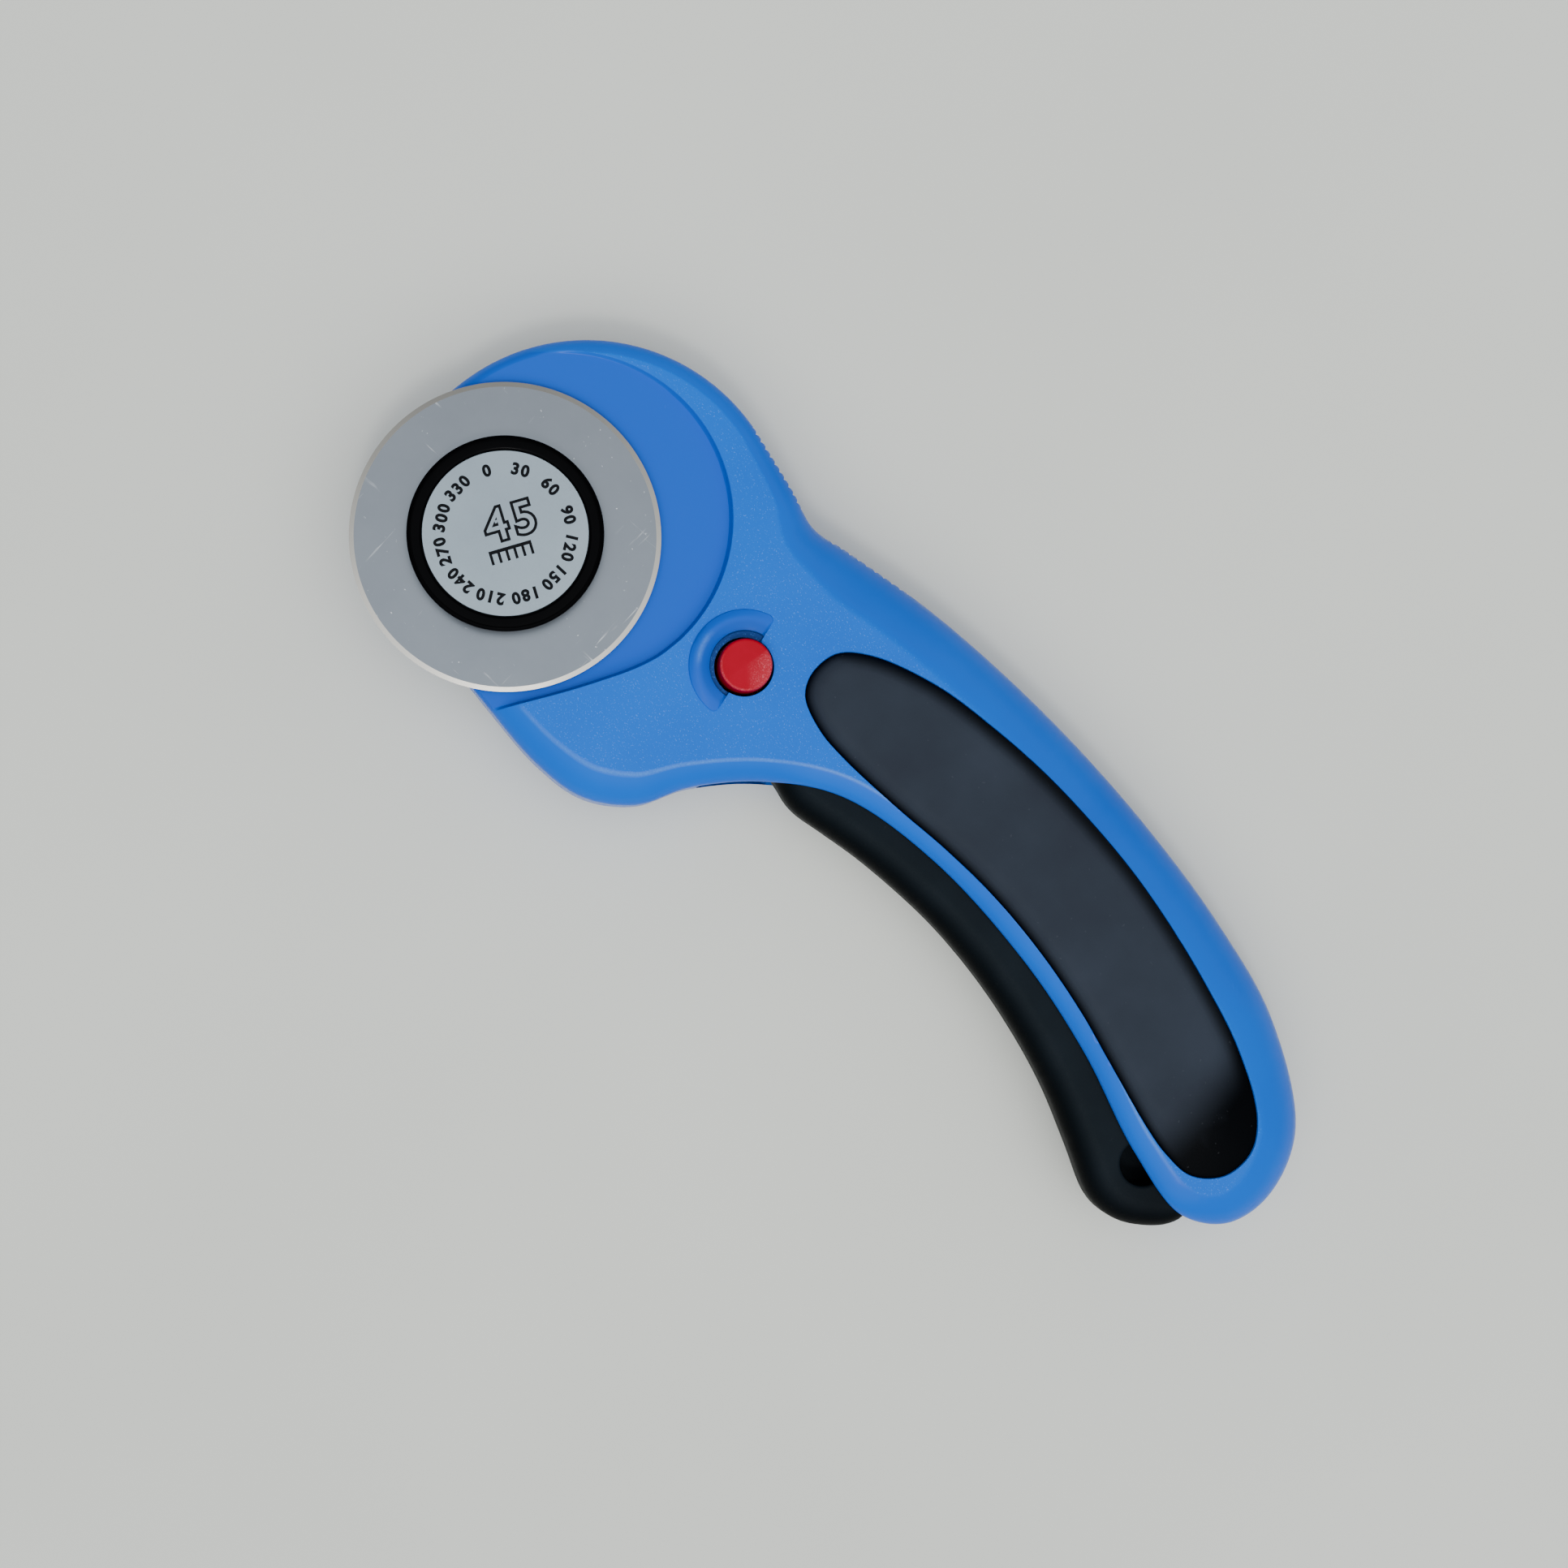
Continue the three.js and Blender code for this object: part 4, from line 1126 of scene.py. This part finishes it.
def disc_finish():
    f = Finish("satin_metal_plate", Metallic=0.85)
    fine = f.noise(6.0)
    colour = f.mix(f.cloud(0.1), (124, 135, 143), (131, 142, 150))
    return f.done(colour, f.spread(fine, 0.3, 0.7, 0.36, 0.46), f.bump(fine, 0.12, 0.02))


def ink_finish():
    f = Finish("black_print", Specular_IOR_Level=0.04)
    worn = f.noise(3.0)
    colour = f.mix(worn, (10, 11, 13), (24, 25, 28))
    return f.done(colour, f.spread(worn, 0.3, 0.7, 0.5, 0.65))


def metal_finish(name, light, dark, rough):
    f = Finish(name, Metallic=1.0)
    colour = f.mix(f.cloud(0.8, 4, 0.6), dark, light)
    lines = f.noise(2.0, 3, 0.6, (1, 1, 0.15))
    rough = f.spread(lines, 0.3, 0.7, rough, rough + 0.15)
    return f.done(colour, rough, f.bump(lines, 0.15, 0.02))


def floor_finish():
    f = Finish("pale_floor", Specular_IOR_Level=0.15)
    fine = f.noise(1.5, 3, 0.6)
    colour = f.mix(f.cloud(0.01), (214, 214, 206), (220, 220, 212))
    return f.done(colour, 0.9, f.bump(fine, 0.1, 0.05))


# ---------- Camera, light and floor ----------

CAMERA_PLACE = (35.24, -34.21, 418.0)
CAMERA_TARGET = (53.80, 0.53, 18.0)
CAMERA_RIGHT = (0.743, 0.669, 0.0)
CAMERA_UP = (-0.669, 0.743, 0.0)
CAMERA_LENS = 63.518
# The sky is brightest round an axis, and falls to its lower strength away from it.
SKY_STRENGTH = (0.3, 3.2)
SKY_AXIS = (0.207, -0.230, 0.951)
SKY_FALL = 0.6


def row_place(x, y, z):
    return Vector((PIN_PLACE.x + x * MM, PIN_PLACE.y + y * MM, z * MM))


def aimed(place, target, up):
    """The pose of something that looks from one plan point to another."""
    back = (row_place(*place) - row_place(*target)).normalized()
    right = Vector(up).cross(back).normalized()
    turn = Matrix((right, back.cross(right), back)).transposed().to_4x4()
    return Matrix.Translation(row_place(*place)) @ turn


def held(data, pose):
    """A camera or a light in the scene."""
    holder = bpy.data.objects.new(data.name, data)
    bpy.context.scene.collection.objects.link(holder)
    holder.matrix_world = pose
    return holder


def camera():
    data = bpy.data.cameras.new("camera")
    data.lens, data.sensor_width, data.clip_start = CAMERA_LENS, 36.0, 0.01
    bpy.context.scene.camera = held(data, aimed(CAMERA_PLACE, CAMERA_TARGET, CAMERA_UP))


def lamp(name, right, up, height, size, power, colour):
    """A soft square light, placed by how it lies in the camera's view of the plan."""
    data = bpy.data.lights.new(name, "AREA")
    data.shape, data.size, data.energy, data.color = "SQUARE", size, power, colour
    x, y = (CAMERA_TARGET[k] + CAMERA_RIGHT[k] * right + CAMERA_UP[k] * up for k in (0, 1))
    held(data, aimed((x, y, height), CAMERA_TARGET, (0.3, 0.9, 0.1)))


def surroundings():
    world = bpy.data.worlds.new("studio")
    bpy.context.scene.world = world
    world.use_nodes = True
    tree = world.node_tree
    sky = tree.nodes["Background"]
    height = tree.nodes.new("ShaderNodeVectorMath")
    height.operation = "DOT_PRODUCT"
    height.inputs[1].default_value = SKY_AXIS
    tree.links.new(tree.nodes.new("ShaderNodeTexCoord").outputs["Generated"], height.inputs[0])
    fade = tree.nodes.new("ShaderNodeMapRange")
    fade.interpolation_type = "SMOOTHSTEP"
    fade.inputs["From Min"].default_value = SKY_FALL
    fade.inputs["To Min"].default_value, fade.inputs["To Max"].default_value = SKY_STRENGTH
    tree.links.new(height.outputs["Value"], fade.inputs["Value"])
    tree.links.new(fade.outputs[0], sky.inputs["Strength"])
    sky.inputs["Color"].default_value = (0.93, 0.97, 1.0, 1.0)
    lamp("ceiling_light", -60, -420, 1150, 0.15, 3.0, (1.0, 1.0, 0.98))
    lamp("side_light", 520, 330, 420, 0.4, 0.3, (0.95, 0.98, 1.0))
    bpy.ops.mesh.primitive_plane_add(size=3.0, location=(0, 0, 0))
    floor = bpy.context.object
    floor.name = "floor"
    floor.data.materials.append(floor_finish())


# ---------- Assembly ----------

camera()
surroundings()

BLUE, GRIP, TRIGGER_BLACK = blue_finish(), grip_finish(), trigger_finish()
front_shell(BLUE)
back_shell(BLUE)
grip_pad("front_pad_moulding", "front_grip_pad", GRIP, FRONT_PAD, True)
grip_pad("back_pad_moulding", "back_grip_pad", GRIP, BACK_PAD, False)
trigger_lever(TRIGGER_BLACK)
lock_button(red_finish())
blade_disc(blade_finish())
pin_head_ring(gloss_finish())
face_disc(disc_finish(), ink_finish())
blade_nut(TRIGGER_BLACK)
STEEL = metal_finish("turned_steel", (172, 174, 178), (150, 152, 156), 0.28)
BRASS = metal_finish("turned_brass", (196, 160, 90), (176, 140, 72), 0.3)
for place in SCREWS:
    screw(place, STEEL)
# These CAD pieces stay as they are, with a look of their own.
KEPT = {
    "lever_pivot_pin": STEEL, "return_spring": STEEL, "lock_detent_spring": STEEL,
    "blade_pin": STEEL, "spring_washer": STEEL, "nut_insert": BRASS,
}
for node, finish in KEPT.items():
    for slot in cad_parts[node].material_slots:
        slot.material = finish
